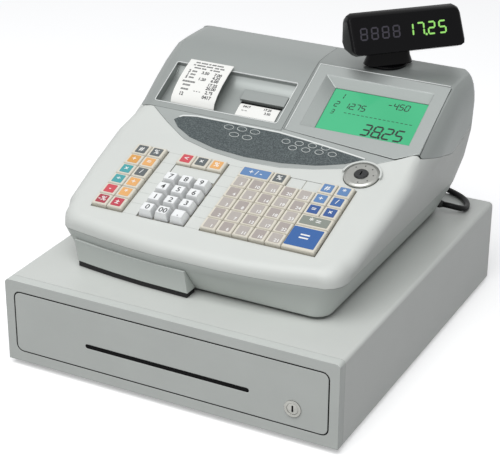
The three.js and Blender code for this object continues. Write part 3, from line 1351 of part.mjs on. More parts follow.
const cableStart = [reliefWallX + reliefLength + seat, reliefY, reliefZ];
const cableEnd = [grommetX, halfDepth + trimProud + seat, grommetZ];
const cableRoute = [
  cableStart,
  [167.5, 166.1, 120.4],
  [173.6, 167.7, 119.4],
  [179.4, 172, 117.1],
  [182.9, 178, 114.7],
  [184, 185, 112.9],
  [183.2, 192.6, 112.1],
  [180.2, 200.6, 112.1],
  [175.2, 207.8, 112.1],
  [168.2, 214.2, 112.1],
  [159.6, 219.8, 112.1],
  [150, 224.6, 112.2],
  [140.6, 229.2, 111.9],
  [131.5, 233.6, 109.2],
  [123.4, 238, 104],
  [116, 244, 97.5],
  [110.8, 249.6, 89],
  [106, 253, 79.5],
  [102.6, 252.2, 69.6],
  [100.8, 246.6, 62.4],
  [100, 237.4, 59.5],
  cableEnd,
];
const cableCurve = new THREE.CatmullRomCurve3(cableRoute.map((p) => new THREE.Vector3(...p)), false, 'centripetal');
const cableSection = new THREE.Shape(circle(cableDiameter / 2, 10).map(([a, b]) => new THREE.Vector2(a, b)));
const cableSteps = 30;
const cable = solidOf(new THREE.ExtrudeGeometry(cableSection, {
  steps: cableSteps, extrudePath: cableCurve, bevelEnabled: false,
}));
addPiece('drawer_cable', cable, rubberFinish);

export default model;
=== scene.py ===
import json
import math

import bmesh
import bpy
from mathutils import Matrix, Vector
from mathutils.bvhtree import BVHTree
from mathutils.geometry import convex_hull_2d


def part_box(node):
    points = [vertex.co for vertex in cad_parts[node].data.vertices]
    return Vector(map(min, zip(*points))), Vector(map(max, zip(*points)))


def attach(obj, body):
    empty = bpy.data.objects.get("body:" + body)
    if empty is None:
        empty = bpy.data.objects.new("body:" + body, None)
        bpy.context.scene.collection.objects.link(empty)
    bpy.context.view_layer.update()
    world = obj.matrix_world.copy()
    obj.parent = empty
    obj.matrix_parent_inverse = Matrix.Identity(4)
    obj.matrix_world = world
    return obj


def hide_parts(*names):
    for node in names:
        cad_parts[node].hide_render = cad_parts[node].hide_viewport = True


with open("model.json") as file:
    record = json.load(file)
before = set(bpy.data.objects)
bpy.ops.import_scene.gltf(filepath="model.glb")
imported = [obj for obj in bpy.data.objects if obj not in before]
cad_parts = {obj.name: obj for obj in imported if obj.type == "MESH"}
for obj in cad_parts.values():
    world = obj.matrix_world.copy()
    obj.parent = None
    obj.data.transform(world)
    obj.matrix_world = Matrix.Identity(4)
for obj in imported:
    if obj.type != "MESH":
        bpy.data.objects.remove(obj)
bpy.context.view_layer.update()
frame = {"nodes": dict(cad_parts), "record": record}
nodes = frame["nodes"]
scene = bpy.context.scene


# Studio: pale floor, one large soft lamp high in front, and a dim even sky.
# The floor shows white to the camera and in gloss, and throws only a little light back up.
def colour(code):
    channels = [int(code[i:i + 2], 16) / 255 for i in (1, 3, 5)]
    linear = [c / 12.92 if c <= 0.04045 else ((c + 0.055) / 1.055) ** 2.4 for c in channels]
    return (*linear, 1.0)


def add(tree, kind, settings=None, inputs=None, links=None):
    node = tree.nodes.new(kind)
    for name, value in (settings or {}).items():
        setattr(node, name, value)
    for name, value in (inputs or {}).items():
        node.inputs[name].default_value = value
    for name, socket in (links or {}).items():
        tree.links.new(socket, node.inputs[name])
    return node


def direct_view(tree):
    path = add(tree, "ShaderNodeLightPath")
    gloss = add(tree, "ShaderNodeMath", {"operation": "MAXIMUM"},
                links={0: path.outputs["Is Camera Ray"], 1: path.outputs["Is Glossy Ray"]})
    return add(tree, "ShaderNodeMath", {"operation": "MAXIMUM"},
               links={0: gloss.outputs[0], 1: path.outputs["Is Transmission Ray"]}).outputs[0]


world = bpy.data.worlds.new("studio sky")
scene.world = world
world.use_nodes = True
sky = world.node_tree
sky.nodes.clear()
dim = add(sky, "ShaderNodeBackground", inputs={"Color": colour("#F4F6FA"), "Strength": 0.34})
white = add(sky, "ShaderNodeBackground", inputs={"Color": (1, 1, 1, 1), "Strength": 1.0})
chosen = add(sky, "ShaderNodeMixShader", links={0: direct_view(sky), 1: dim.outputs[0], 2: white.outputs[0]})
add(sky, "ShaderNodeOutputWorld", links={"Surface": chosen.outputs[0]})

floor_reach = 6
floor_corners = [(sx * floor_reach, sy * floor_reach, 0) for sx, sy in ((-1, -1), (1, -1), (1, 1), (-1, 1))]
floor_mesh = bpy.data.meshes.new("floor")
floor_mesh.from_pydata(floor_corners, [], [(0, 1, 2, 3)])
floor = bpy.data.objects.new("floor", floor_mesh)
scene.collection.objects.link(floor)
floor_paper = bpy.data.materials.new("studio paper")
floor_paper.use_nodes = True
paper_tree = floor_paper.node_tree
paper_tree.nodes.clear()
grey_side = add(paper_tree, "ShaderNodeBsdfDiffuse", inputs={"Color": colour("#767676")})
white_side = add(paper_tree, "ShaderNodeBsdfDiffuse", inputs={"Color": colour("#FAFAFA")})
lift = add(paper_tree, "ShaderNodeEmission", inputs={"Color": (1, 1, 1, 1), "Strength": 0.34})
bright_side = add(paper_tree, "ShaderNodeAddShader", links={0: white_side.outputs[0], 1: lift.outputs[0]})
paper_mix = add(paper_tree, "ShaderNodeMixShader",
                links={0: direct_view(paper_tree), 1: grey_side.outputs[0], 2: bright_side.outputs[0]})
add(paper_tree, "ShaderNodeOutputMaterial", links={"Surface": paper_mix.outputs[0]})
floor_mesh.materials.append(floor_paper)

lamp_data = bpy.data.lights.new("soft box", "AREA")
lamp_data.shape = "RECTANGLE"
lamp_data.size = 2.8
lamp_data.size_y = 2.2
lamp_data.energy = 79
lamp = bpy.data.objects.new("soft box", lamp_data)
scene.collection.objects.link(lamp)
lamp_distance = 3.0
lamp_target = Vector((0, 0, 0.15))
lamp_reach = Vector((0.04, -0.52, 0.85)).normalized() * lamp_distance
lamp.location = lamp_target + lamp_reach
lamp.rotation_euler = (-lamp_reach).to_track_quat("-Z", "Y").to_euler()


# Camera: stands high in front and to the right, far away with a long lens, as the photograph was
# taken; its place and aim were solved from points of the object that the photograph shows.
azimuth = math.radians(27.32)
elevation = math.radians(25.52)
roll = math.radians(0.35)
aim = Vector((-1.29398, 2.47655, -1.21937))
distance = 4.97404
back = Vector((math.sin(azimuth) * math.cos(elevation), -math.cos(azimuth) * math.cos(elevation),
               math.sin(elevation)))
level = Vector((math.cos(azimuth), math.sin(azimuth), 0))
upright = back.cross(level)
right = level * math.cos(roll) + upright * math.sin(roll)
up = upright * math.cos(roll) - level * math.sin(roll)
lens, sensor_width = 115.65, 36
camera_data = bpy.data.cameras.new("camera")
camera_data.lens = lens
camera_data.sensor_width = sensor_width
camera_data.clip_end = 40
camera = bpy.data.objects.new("camera", camera_data)
scene.collection.objects.link(camera)
camera_turn = Matrix((right, up, back)).transposed().to_4x4()
camera.matrix_world = Matrix.Translation(aim + back * distance) @ camera_turn
scene.camera = camera
scene.view_settings.view_transform = "Standard"


# Drawer cable: black PVC lead, 7 mm, from the strain relief low on the right flank, laid round
# on the cabinet's top, over its rear edge and into the grommet in the back. The PVC is smooth
# and nearly black, with one thin soft highlight along it.
def new_material(name):
    material = bpy.data.materials.new(name)
    material.use_nodes = True
    tree = material.node_tree
    return material, tree, tree.nodes["Principled BSDF"]


cable_pvc, _, cable_shader = new_material("moulded black PVC")
cable_shader.inputs["Base Color"].default_value = colour("#0C0C0D")
cable_shader.inputs["Roughness"].default_value = 0.36
cable_shader.inputs["Specular IOR Level"].default_value = 0.13
cable_route = [
    (162.4, 166, 120.5), (167.5, 166.1, 120.4), (173.6, 167.7, 119.4), (179.4, 172, 117.1),
    (182.9, 178, 114.7), (184, 185, 112.9), (183.2, 192.6, 112.1), (180.2, 200.6, 112.1),
    (175.2, 207.8, 112.1), (168.2, 214.2, 112.1), (159.6, 219.8, 112.1), (150, 224.6, 112.2),
    (140.6, 229.2, 111.9), (131.5, 233.6, 109.2), (123.4, 238, 104), (116, 244, 97.5),
    (110.8, 249.6, 89), (106, 253, 79.5), (102.6, 252.2, 69.6), (100.8, 246.6, 62.4),
    (100, 237.4, 59.5), (100, 226.5, 59.3),
]
cable_diameter = 0.007
cable_curve = bpy.data.curves.new("drawer cable", "CURVE")
cable_curve.dimensions = "3D"
cable_curve.bevel_depth = cable_diameter / 2
cable_curve.bevel_resolution = 4
cable_curve.resolution_u = 8
cable_spline = cable_curve.splines.new("BEZIER")
cable_spline.bezier_points.add(len(cable_route) - 1)
for i, place in enumerate(cable_route):
    before = Vector(cable_route[max(i - 1, 0)])
    after = Vector(cable_route[min(i + 1, len(cable_route) - 1)])
    here = Vector(place)
    course = (after - before).normalized()
    point = cable_spline.bezier_points[i]
    point.co = here / 1000
    point.handle_left = (here - course * (here - before).length / 3) / 1000
    point.handle_right = (here + course * (after - here).length / 3) / 1000
drawer_lead = bpy.data.objects.new("drawer_lead", cable_curve)
scene.collection.objects.link(drawer_lead)
cable_curve.materials.append(cable_pvc)
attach(drawer_lead, "cabinet_and_register")
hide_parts("drawer_cable")


# Strain relief and grommet: soft nitrile rubber, the relief moulded round the lead and pulled
# through the flank, the grommet pressed into the hole in the cabinet's back. The rubber is matt
# and a little greyer than the lead.
def shaded(code, share):
    red, green, blue, alpha = colour(code)
    return (min(red * share, 1), min(green * share, 1), min(blue * share, 1), alpha)


def pattern(tree, kind, grain, detail=2.0):
    place = add(tree, "ShaderNodeTexCoord").outputs["Object"]
    return add(tree, kind, inputs={"Scale": 1000 / grain, "Detail": detail}, links={"Vector": place})


def surface(tree, shader, height, roughness, spread, corner, relief):
    sheen = add(tree, "ShaderNodeMapRange",
                inputs={"To Min": roughness - spread, "To Max": roughness + spread}, links={"Value": height})
    tree.links.new(sheen.outputs[0], shader.inputs["Roughness"])
    rounding = add(tree, "ShaderNodeBevel", {"samples": 6}, {"Radius": corner / 1000})
    skin = add(tree, "ShaderNodeBump", inputs={"Strength": 1.0, "Distance": relief / 1000},
               links={"Height": height, "Normal": rounding.outputs[0]})
    tree.links.new(skin.outputs[0], shader.inputs["Normal"])


# A moulding's grain, relief and corner radius are in mm. A slow cloud shifts its tone, and painted
# shade from ambient occlusion darkens its corners, recesses and the gaps between parts.
cloud_size = 55
shade_reach = 0.007
gloss_spread = 0.07


def moulded(name, code, roughness, grain=0.9, relief=0.03, tone=0.05, painted_shade=0.3, corner=0.5, metal=0.0,
            gloss=0.5):
    material, tree, shader = new_material(name)
    shader.inputs["Metallic"].default_value = metal
    shader.inputs["Specular IOR Level"].default_value = gloss
    cloud = pattern(tree, "ShaderNodeTexNoise", cloud_size, 3)
    body = add(tree, "ShaderNodeMix", {"data_type": "RGBA"},
               {6: shaded(code, 1 - tone), 7: shaded(code, 1 + tone)}, {0: cloud.outputs["Fac"]})
    # Painted shade: the colour is darkened where corners, recesses and nearby parts hide the light.
    pocket = add(tree, "ShaderNodeAmbientOcclusion", {"samples": 6}, {"Distance": shade_reach})
    corner_shade = add(tree, "ShaderNodeMapRange", inputs={"From Min": 0.3, "From Max": 0.9, "To Min": 1 - painted_shade},
               links={"Value": pocket.outputs["AO"]})
    body_in_shade = add(tree, "ShaderNodeMix", {"data_type": "RGBA", "blend_type": "MULTIPLY"}, {0: 1.0},
                {6: body.outputs[2], 7: corner_shade.outputs[0]})
    tree.links.new(body_in_shade.outputs[2], shader.inputs["Base Color"])
    fine = pattern(tree, "ShaderNodeTexNoise", grain, 2)
    surface(tree, shader, fine.outputs["Fac"], roughness, gloss_spread, corner, relief)
    return material


# Every solid and mesh piece is shaded smooth over its gentle facets and keeps its true corners sharp.
smooth_under = math.radians(28)
smooth_tree = bpy.data.node_groups.new("smooth by angle", "GeometryNodeTree")
smooth_tree.interface.new_socket("Geometry", in_out="INPUT", socket_type="NodeSocketGeometry")
smooth_tree.interface.new_socket("Geometry", in_out="OUTPUT", socket_type="NodeSocketGeometry")
entry = add(smooth_tree, "NodeGroupInput")
merged = add(smooth_tree, "GeometryNodeMergeByDistance", inputs={"Distance": 1e-6},
             links={"Geometry": entry.outputs[0]})
bare = add(smooth_tree, "GeometryNodeRemoveAttribute", inputs={"Name": "custom_normal"},
           links={"Geometry": merged.outputs[0]})
bend = add(smooth_tree, "GeometryNodeInputMeshEdgeAngle")
gentle = add(smooth_tree, "FunctionNodeCompare", {"operation": "LESS_EQUAL"}, {1: smooth_under},
             {0: bend.outputs["Unsigned Angle"]})
all_faces = add(smooth_tree, "GeometryNodeSetShadeSmooth", {"domain": "FACE"},
                links={"Geometry": bare.outputs[0]})
soft_edges = add(smooth_tree, "GeometryNodeSetShadeSmooth", {"domain": "EDGE"},
                 links={"Geometry": all_faces.outputs[0], "Shade Smooth": gentle.outputs[0]})
add(smooth_tree, "NodeGroupOutput", links={0: soft_edges.outputs[0]})


def finish_edges(thing):
    shading = thing.modifiers.new("smooth by angle", "NODES")
    shading.node_group = smooth_tree
    level_faces = thing.modifiers.new("flat faces stay flat", "WEIGHTED_NORMAL")
    level_faces.keep_sharp = True


def dress(material, *names):
    for name in names:
        for place in nodes[name].material_slots:
            place.material = material
        finish_edges(nodes[name])


soft_rubber = moulded("moulded nitrile rubber", "#1D1D1F", 0.62, grain=1.2, relief=0.05, tone=0.15)
dress(soft_rubber, "cable_relief", "cable_grommet")


# Cabinet: folded steel sheet with a grey powder coat, whose faint orange peel softens every
# highlight; the plated base pan carries it.
powder_coat = moulded("powder coated steel", "#CFD2CE", 0.42, grain=2.2, relief=0.05, tone=0.03, corner=1.0)
dress(powder_coat, "cabinet_cover")


# Plated steel keeps the lines that it was drawn or turned with, in mm across and along them, and
# the faint flowers of its zinc.
spangle_size = 9
line_gloss_spread = 0.1
plated_corner = 0.4


def plated(name, code, roughness, across, along, relief=0.01):
    material, tree, shader = new_material(name)
    shader.inputs["Metallic"].default_value = 1.0
    place = add(tree, "ShaderNodeTexCoord").outputs["Object"]
    drawn = add(tree, "ShaderNodeMapping", inputs={"Scale": (1000 / along, 1000 / across, 1000 / across)},
                links={"Vector": place})
    lines = add(tree, "ShaderNodeTexNoise", inputs={"Scale": 1.0, "Detail": 4.0},
                links={"Vector": drawn.outputs[0]})
    spangle = pattern(tree, "ShaderNodeTexVoronoi", spangle_size, 0)
    body = add(tree, "ShaderNodeMix", {"data_type": "RGBA"}, {6: shaded(code, 0.86), 7: shaded(code, 1.08)},
               {0: spangle.outputs["Color"]})
    tree.links.new(body.outputs[2], shader.inputs["Base Color"])
    surface(tree, shader, lines.outputs["Fac"], roughness, line_gloss_spread, plated_corner, relief)
    return material


zinc_plate = plated("zinc plated steel", "#B9BCBB", 0.38, across=0.6, along=40)
dress(zinc_plate, "cabinet_base")


# Drawer front and the frame round it: moulded grey ABS with a fine spark eroded grain, snapped
# onto the steel behind.
panel_abs = moulded("grained grey ABS", "#CBCFCB", 0.5, grain=1.4, relief=0.05, tone=0.06, corner=0.9)
dress(panel_abs, "cabinet_front_frame", "drawer_front")
to_metres = Matrix.Scale(0.001, 4)
panel_low, panel_high = (Vector(corner) * 1000 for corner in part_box("drawer_front"))
front_depth = panel_low.y
front_face = to_metres @ Matrix.Translation((0, front_depth, 0)) @ Matrix.Rotation(math.pi / 2, 4, "X")
panel_middle = (0, (panel_low.z + panel_high.z) / 2)
panel_width = panel_high.x - panel_low.x
panel_height = panel_high.z - panel_low.z
slot_space = next(o["box_m"] for o in frame["record"]["physics"]["openings"] if o["name"] == "media_slot")
slot_middle = (0, 500 * (slot_space[0][2] + slot_space[1][2]))


def rounded(centre, width, depth, radius, steps=3):
    outline = []
    for turn, sx, sy in ((0, 1, 1), (90, -1, 1), (180, -1, -1), (270, 1, -1)):
        for k in range(steps + 1):
            angle = math.radians(turn + 90 * k / steps)
            outline.append((centre[0] + sx * (width / 2 - radius) + radius * math.cos(angle),
                            centre[1] + sy * (depth / 2 - radius) + radius * math.sin(angle)))
    return outline


def slab(form, outline, place, low, high, edge, index=0):
    middle = [sum(p[k] for p in outline) / len(outline) for k in (0, 1)]
    reach = [max(abs(p[k] - middle[k]) for p in outline) for k in (0, 1)]
    rings = []
    for level, inset in ((low, 0), (high - edge, 0), (high, edge)):
        rings.append([form.verts.new(place @ Vector((
            middle[0] + (x - middle[0]) * (1 - inset / reach[0]),
            middle[1] + (y - middle[1]) * (1 - inset / reach[1]), level))) for x, y in outline])
    made = [form.faces.new(rings[2]), form.faces.new(rings[0][::-1])]
    for lower, upper in zip(rings, rings[1:]):
        for k in range(len(outline)):
            after = (k + 1) % len(outline)
            made.append(form.faces.new((lower[k], lower[after], upper[after], upper[k])))
    for face in made:
        face.material_index = index


def band(form, outer, inner, place, low, high, index=0):
    loops = [[form.verts.new(place @ Vector((x, y, level))) for x, y in outline]
             for outline, level in ((outer, low), (outer, high), (inner, high), (inner, low))]
    for first, second in zip(loops, loops[1:] + loops[:1]):
        for k in range(len(outer)):
            after = (k + 1) % len(outer)
            form.faces.new((first[k], first[after], second[after], second[k])).material_index = index


def piece(name, form, materials, body):
    mesh = bpy.data.meshes.new(name)
    bmesh.ops.recalc_face_normals(form, faces=form.faces[:])
    form.to_mesh(mesh)
    form.free()
    for material in materials:
        mesh.materials.append(material)
    thing = bpy.data.objects.new(name, mesh)
    scene.collection.objects.link(thing)
    finish_edges(thing)
    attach(thing, body)


# Drawer lip and slot brushes: black rubber, glued behind the drawer front. The lip fills the gap round
# the front and the brushes fill the slot for cheques and large notes. Their black is painted shade for
# the dark depth of the gap and the slot, so both read as dark lines.
gap_shade_rubber = moulded("black gap shade rubber", "#070708", 0.75, grain=0.8, relief=0.05, tone=0.2, gloss=0.1)
lip_reach, lip_overlap = 1.25, 0.5
lip_outer_radius, lip_inner_radius = 8.2, 6.5
lip_back, lip_front = -4.5, -0.15
drawer_gap_shade = bmesh.new()
lip_outer = rounded(panel_middle, panel_width + 2 * lip_reach, panel_height + 2 * lip_reach,
                    lip_outer_radius, 5)
lip_inner = rounded(panel_middle, panel_width - 2 * lip_overlap, panel_height - 2 * lip_overlap,
                    lip_inner_radius, 5)
band(drawer_gap_shade, lip_outer, lip_inner, front_face, lip_back, lip_front)
piece("drawer_front_gap_shade", drawer_gap_shade, [gap_shade_rubber], "drawer")
brush_width, brush_height, brush_radius = 202.8, 5.3, 2.6
brush_back, brush_front, brush_edge = -2.3, -0.2, 0.2
slot_shade_brush = bmesh.new()
slab(slot_shade_brush, rounded(slot_middle, brush_width, brush_height, brush_radius, 4), front_face,
     brush_back, brush_front, brush_edge)
piece("slot_brush_lips", slot_shade_brush, [gap_shade_rubber], "drawer")


# Feet: four blocks of black nitrile rubber, screwed under the cabinet's base pan. They are matt and
# nearly black, so that they read as part of the shadow.
foot_rubber = moulded("black foot rubber", "#151516", 0.7, grain=1.0, relief=0.06, tone=0.2, corner=0.8)
dress(foot_rubber, "foot_front_left", "foot_front_right", "foot_rear_left", "foot_rear_right")


# Drawer works: pressed tray, latch hook and solenoid in zinc plated steel, with white acetal rollers
# on pins. The drawn lines give the zinc a streaked soft shine; the acetal is smooth and waxy.
drawn_steel = plated("drawn zinc plated steel", "#ADB0B0", 0.34, across=0.5, along=30)
dress(drawn_steel, "drawer_tray", "latch_solenoid", "latch_hook")
acetal = moulded("white acetal", "#E4E3DC", 0.35, grain=0.8, relief=0.01, tone=0.03)
dress(acetal, "cabinet_roller_left", "cabinet_roller_right", "drawer_roller_left", "drawer_roller_right")


# Till insert: one moulding in dark grey polypropylene, a little waxy, that lies loose in the tray.
# Its four note clips are pressed from bright spring steel and turn on pins at the rear wall.
till_moulding = moulded("dark grey polypropylene", "#54585A", 0.46, grain=0.7, relief=0.03, tone=0.12,
                        corner=0.6)
dress(till_moulding, "till_insert")
sprung_steel = plated("bright spring steel", "#C6C8C9", 0.26, across=0.5, along=25)
dress(sprung_steel, "note_clip_1", "note_clip_2", "note_clip_3", "note_clip_4")


# Drawer lock: a nickel plated ring and a turned barrel, set in the drawer front. The satin nickel
# has a warm soft shine, and a dark slab on the barrel's face is painted shade for its keyway.
nickel = plated("satin nickel plate", "#A6A6A1", 0.3, across=0.3, along=6)
dress(nickel, "lock_ring", "lock_barrel")
lock_pin = next(j for j in frame["record"]["behaviour"]["joints"] if j["name"] == "drawer_lock_turn")
lock_middle = Vector(lock_pin["pos_m"]) * 1000
barrel_front = front_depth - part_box("lock_barrel")[0][1] * 1000
keyway_width, keyway_length, keyway_radius = 2.2, 8, 1.0
keyway_rise, keyway_edge = 0.08, 0.02
keyway = bmesh.new()
slab(keyway, rounded((lock_middle.x, lock_middle.z), keyway_width, keyway_length, keyway_radius), front_face,
     barrel_front, barrel_front + keyway_rise, keyway_edge)
piece("lock_keyway_shade", keyway, [gap_shade_rubber], "lock")


# Rear screws: zinc plated steel pan heads with a cross recess, driven into the backs of the
# cabinet's cover and the case. They shine a little against the matt backs round them.
head_profile = ((1, 0), (1, 0.3), (0.85, 0.75), (0.5, 0.97))
recess_width, recess_reach = 0.13, 0.55
recess_floor, recess_rim, recess_edge = 0.9, 1.01, 0.02


def pan_head(form, centre, place, radius, rise, steps=14):
    rings = [[form.verts.new(place @ Vector((
        centre[0] + radius * spread * math.cos(math.tau * k / steps),
        centre[1] + radius * spread * math.sin(math.tau * k / steps), rise * level))) for k in range(steps)]
        for spread, level in head_profile]
    for lower, upper in zip(rings, rings[1:]):
        for k in range(steps):
            after = (k + 1) % steps
            form.faces.new((lower[k], lower[after], upper[after], upper[k]))
    form.faces.new(rings[-1])
    form.faces.new(rings[0][::-1])
    wide, long = radius * recess_width, radius * recess_reach
    cross = [(wide, long), (-wide, long), (-wide, wide), (-long, wide), (-long, -wide), (-wide, -wide),
             (-wide, -long), (wide, -long), (wide, -wide), (long, -wide), (long, wide), (wide, wide)]
    slab(form, [(centre[0] + x, centre[1] + y) for x, y in cross], place,
         rise * recess_floor, rise * recess_rim, recess_edge, 1)


def rear_face(depth):
    return (to_metres @ Matrix.Translation((0, depth, 0)) @ Matrix.Rotation(math.pi, 4, "Z")
            @ Matrix.Rotation(math.pi / 2, 4, "X"))


case_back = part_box("upper_case")[1][1] * 1000
cabinet_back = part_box("cabinet_cover")[1][1] * 1000
cabinet_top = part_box("cabinet_cover")[1][2] * 1000
cover_head, case_head, head_gap, head_rise = 3.4, 3.0, 0.05, 0.5
screw_places = [
    (cabinet_back, 192, cabinet_top - 14, cover_head), (cabinet_back, 192, 22, cover_head),
    (cabinet_back, 64, 22, cover_head), (case_back, 148, cabinet_top + 22, case_head),
]
rear_screws = bmesh.new()
for side in (-1, 1):
    for depth, across, level, radius in screw_places:
        pan_head(rear_screws, (side * across, level), rear_face(depth + head_gap), radius, radius * head_rise)
recess_shade = moulded("shaded screw recess", "#2A2B2B", 0.6, grain=0.8, relief=0.02, tone=0.1)
piece("rear_screws", rear_screws, [zinc_plate, recess_shade], "cabinet_and_register")


# Register base and front cover: moulded ABS, a shade greyer than the case above and with the same
# fine grain. They stand on a matt black foam plinth, glued to the cabinet's top, which fills the gap
# beneath them; its black is in part painted shade for that gap.
base_abs = moulded("grey moulded ABS", "#C3C8C4", 0.44, grain=1.1, relief=0.04, tone=0.03, corner=1.0)
dress(base_abs, "register_base", "front_cover")
underside_depth = 0.3


def footprint(node, inset):
    corners = [v.co * 1000 for v in nodes[node].data.vertices]
    lowest = min(c.z for c in corners)
    flat = [Vector((c.x, c.y)) for c in corners if c.z < lowest + underside_depth]
    middle = sum(flat, Vector((0, 0))) / len(flat)
    reach = [max(abs((p - middle)[k]) for p in flat) for k in (0, 1)]
    outline = [(middle.x + (flat[k].x - middle.x) * (1 - inset / reach[0]),
                middle.y + (flat[k].y - middle.y) * (1 - inset / reach[1])) for k in convex_hull_2d(flat)]
    return outline, lowest


foam_gap, foam_edge = 0.2, 0.2
plinth_gap_shade = bmesh.new()
for node, inset in (("register_base", 3.0), ("front_cover", 1.2)):
    outline, underside = footprint(node, inset)
    slab(plinth_gap_shade, outline, to_metres, cabinet_top + foam_gap, underside - foam_gap, foam_edge)
plinth_shade_foam = moulded("black foam rubber", "#101011", 0.85, grain=1.4, relief=0.15, tone=0.25)
piece("plinth_gap_shade", plinth_gap_shade, [plinth_shade_foam], "cabinet_and_register")


# Upper case: one large moulding in pale grey ABS, set on the register base along the seam and held
# by its rear screws. Its fine matt grain spreads the lamp's light into a broad, soft sheen.
case_abs = moulded("pale moulded ABS", "#D5D8D4", 0.46, grain=1.0, relief=0.035, tone=0.025, corner=1.0)
dress(case_abs, "upper_case")


# Key deck: cream moulded ABS caps in rows, standing through the upper case. Each cap has a coloured
# card legend under a clear cover, a thin tile with a coat of gloss, pressed in inside its rim.
key_cream = moulded("cream moulded ABS", "#DDD8CA", 0.42, grain=0.9, relief=0.02, tone=0.03, painted_shade=0.12,
                    corner=0.8)
dress(key_cream, "key_deck", "key_subtotal", "key_tender")
key_front = (0, -165, 172.1)
key_slope = math.atan(0.319)
key_frame = to_metres @ Matrix.Translation(key_front) @ Matrix.Rotation(key_slope, 4, "X")
column_pitch, row_pitch = 19.6, 18.2
last_row, last_row_along = 5, 31.8


def key_spot(first, column, row):
    return first + column_pitch * column, last_row_along + (last_row - row) * row_pitch


capital_share = 0.72
type_rise = 0.03
probe_height = 0.02


def lettering(form, words, height, place, index=0, sheet=None, lift=0.05, weight=0.12):
    curve = bpy.data.curves.new("type", "FONT")
    curve.body = words
    curve.size = height / capital_share
    curve.offset = weight
    curve.align_x = "CENTER"
    curve.align_y = "CENTER"
    curve.resolution_u = 3
    curve.extrude = type_rise
    type_object = bpy.data.objects.new("type", curve)
    outline = bpy.data.meshes.new_from_object(type_object)
    first_vertex = len(form.verts)
    first_face = len(form.faces)
    form.from_mesh(outline)
    form.verts.ensure_lookup_table()
    form.faces.ensure_lookup_table()
    course = (place.to_3x3() @ Vector((0, 0, 1))).normalized()
    for vertex in form.verts[first_vertex:]:
        x, y, rise = vertex.co
        foot = place @ Vector((x, y, 0))
        hit = sheet.ray_cast(foot + course * probe_height, -course)[0] if sheet else None
        vertex.co = (hit or foot) + course * (rise + lift) / 1000
    for face in form.faces[first_face:]:
        face.material_index = index
    bpy.data.objects.remove(type_object)
    bpy.data.curves.remove(curve)
    bpy.data.meshes.remove(outline)


ink_dots = 0.7


def printed(name, code, roughness=0.4):
    material, tree, shader = new_material(name)
    dots = pattern(tree, "ShaderNodeTexNoise", ink_dots, 2)
    ink = add(tree, "ShaderNodeMix", {"data_type": "RGBA"}, {6: shaded(code, 0.88), 7: shaded(code, 1.1)},
              {0: dots.outputs["Fac"]})
    tree.links.new(ink.outputs[2], shader.inputs["Base Color"])
    shader.inputs["Roughness"].default_value = roughness
    shader.inputs["Coat Weight"].default_value = 0.25
    shader.inputs["Coat Roughness"].default_value = 0.25
    return material


legend_codes = {
    "slate": "#555C5E", "ochre": "#DC9F4C", "orange": "#E8AC66", "teal": "#3F9FA4", "red": "#CC4450",
    "crimson": "#BC3246", "deep red": "#A82D40", "sky": "#5A82B4", "blue": "#30609E", "navy": "#235092",
    "olive": "#858B82", "royal": "#1F5A9E", "stone": "#B5AEA8", "warm stone": "#A9A09B",
}
legend_names = list(legend_codes) + ["white ink"]
legend_cards = [printed(f"{shade} legend card", code) for shade, code in legend_codes.items()]
legend_cards.append(printed("white legend ink", "#F3F3F0", 0.5))
cap_top = 4.6
tile_seat, tile_rise, tile_radius, tile_edge = 0.25, 0.45, 0.9, 0.2


def legend(form, centre, size, shade, mark, mark_height=7.0, mark_shift=(0, 0)):
    slab(form, rounded(centre, *size, tile_radius), key_frame, cap_top - tile_seat, cap_top + tile_rise,
         tile_edge, legend_names.index(shade))
    spot = Matrix.Translation((centre[0] + mark_shift[0], centre[1] + mark_shift[1], cap_top + tile_rise))
    lettering(form, mark, mark_height, key_frame @ spot, legend_names.index("white ink"))


left_first, number_first, right_first = -129.8, -71.0, 7.8
small_tile, department_tile, wide_tile = (12.6, 13), (12.6, 14), (34, 13)
subtotal_tile, tender_tile = (33, 13), (35, 29.6)
left_legends = bmesh.new()
left_plan = [
    (("slate", "#"), ("slate", "%")), (("ochre", "+"), ("orange", "=")),
    (("teal", "×"), ("slate", "/")), (("teal", "÷"), ("orange", "+")),
    (("red", "-"), ("orange", "*")), (("deep red", "-%"), ("crimson", "±")),
]
for row, keys in enumerate(left_plan):
    for column, (shade, mark) in enumerate(keys):
        legend(left_legends, key_spot(left_first, column, row), small_tile, shade, mark)
piece("left_key_legends", left_legends, legend_cards, "cabinet_and_register")

clear_legends = bmesh.new()
for column, (shade, mark) in enumerate((("red", "<"), ("slate", "×"), ("orange", "%"))):
    legend(clear_legends, key_spot(number_first, column, 0), small_tile, shade, mark)
piece("clear_key_legends", clear_legends, legend_cards, "cabinet_and_register")

right_legends = bmesh.new()
legend(right_legends, key_spot(right_first, 0.5, 0), wide_tile, "sky", "+ / -")
right_plan = {
    (2, 0): ("slate", "%"), (5, 0): ("sky", "#"), (6, 0): ("sky", "*"), (5, 1): ("sky", "+"),
    (6, 1): ("blue", "/"), (5, 2): ("navy", "="), (6, 2): ("navy", "×"),
}
for (column, row), (shade, mark) in right_plan.items():
    legend(right_legends, key_spot(right_first, column, row), small_tile, shade, mark)
department_height, department_shift = 4.6, (2.9, -3.9)
for column in range(5):
    for row in range(1, 6):
        shade = "stone" if (column + row) % 2 else "warm stone"
        legend(right_legends, key_spot(right_first, column, row), department_tile, shade,
               str(5 * column + 6 - row), department_height, department_shift)
piece("department_key_legends", right_legends, legend_cards, "cabinet_and_register")

subtotal_height, tender_height, tender_shift = 8, 16, 0.6
subtotal_legend = bmesh.new()
legend(subtotal_legend, key_spot(right_first, 5.5, 3), subtotal_tile, "olive", "* =", subtotal_height)
piece("subtotal_key_legend", subtotal_legend, legend_cards, "key_subtotal")

tender_legend = bmesh.new()
tender_across, tender_along = key_spot(right_first, 5.5, 4.5)
legend(tender_legend, (tender_across - tender_shift, tender_along + tender_shift), tender_tile, "royal", "=",
       tender_height)
piece("tender_key_legend", tender_legend, legend_cards, "key_tender")

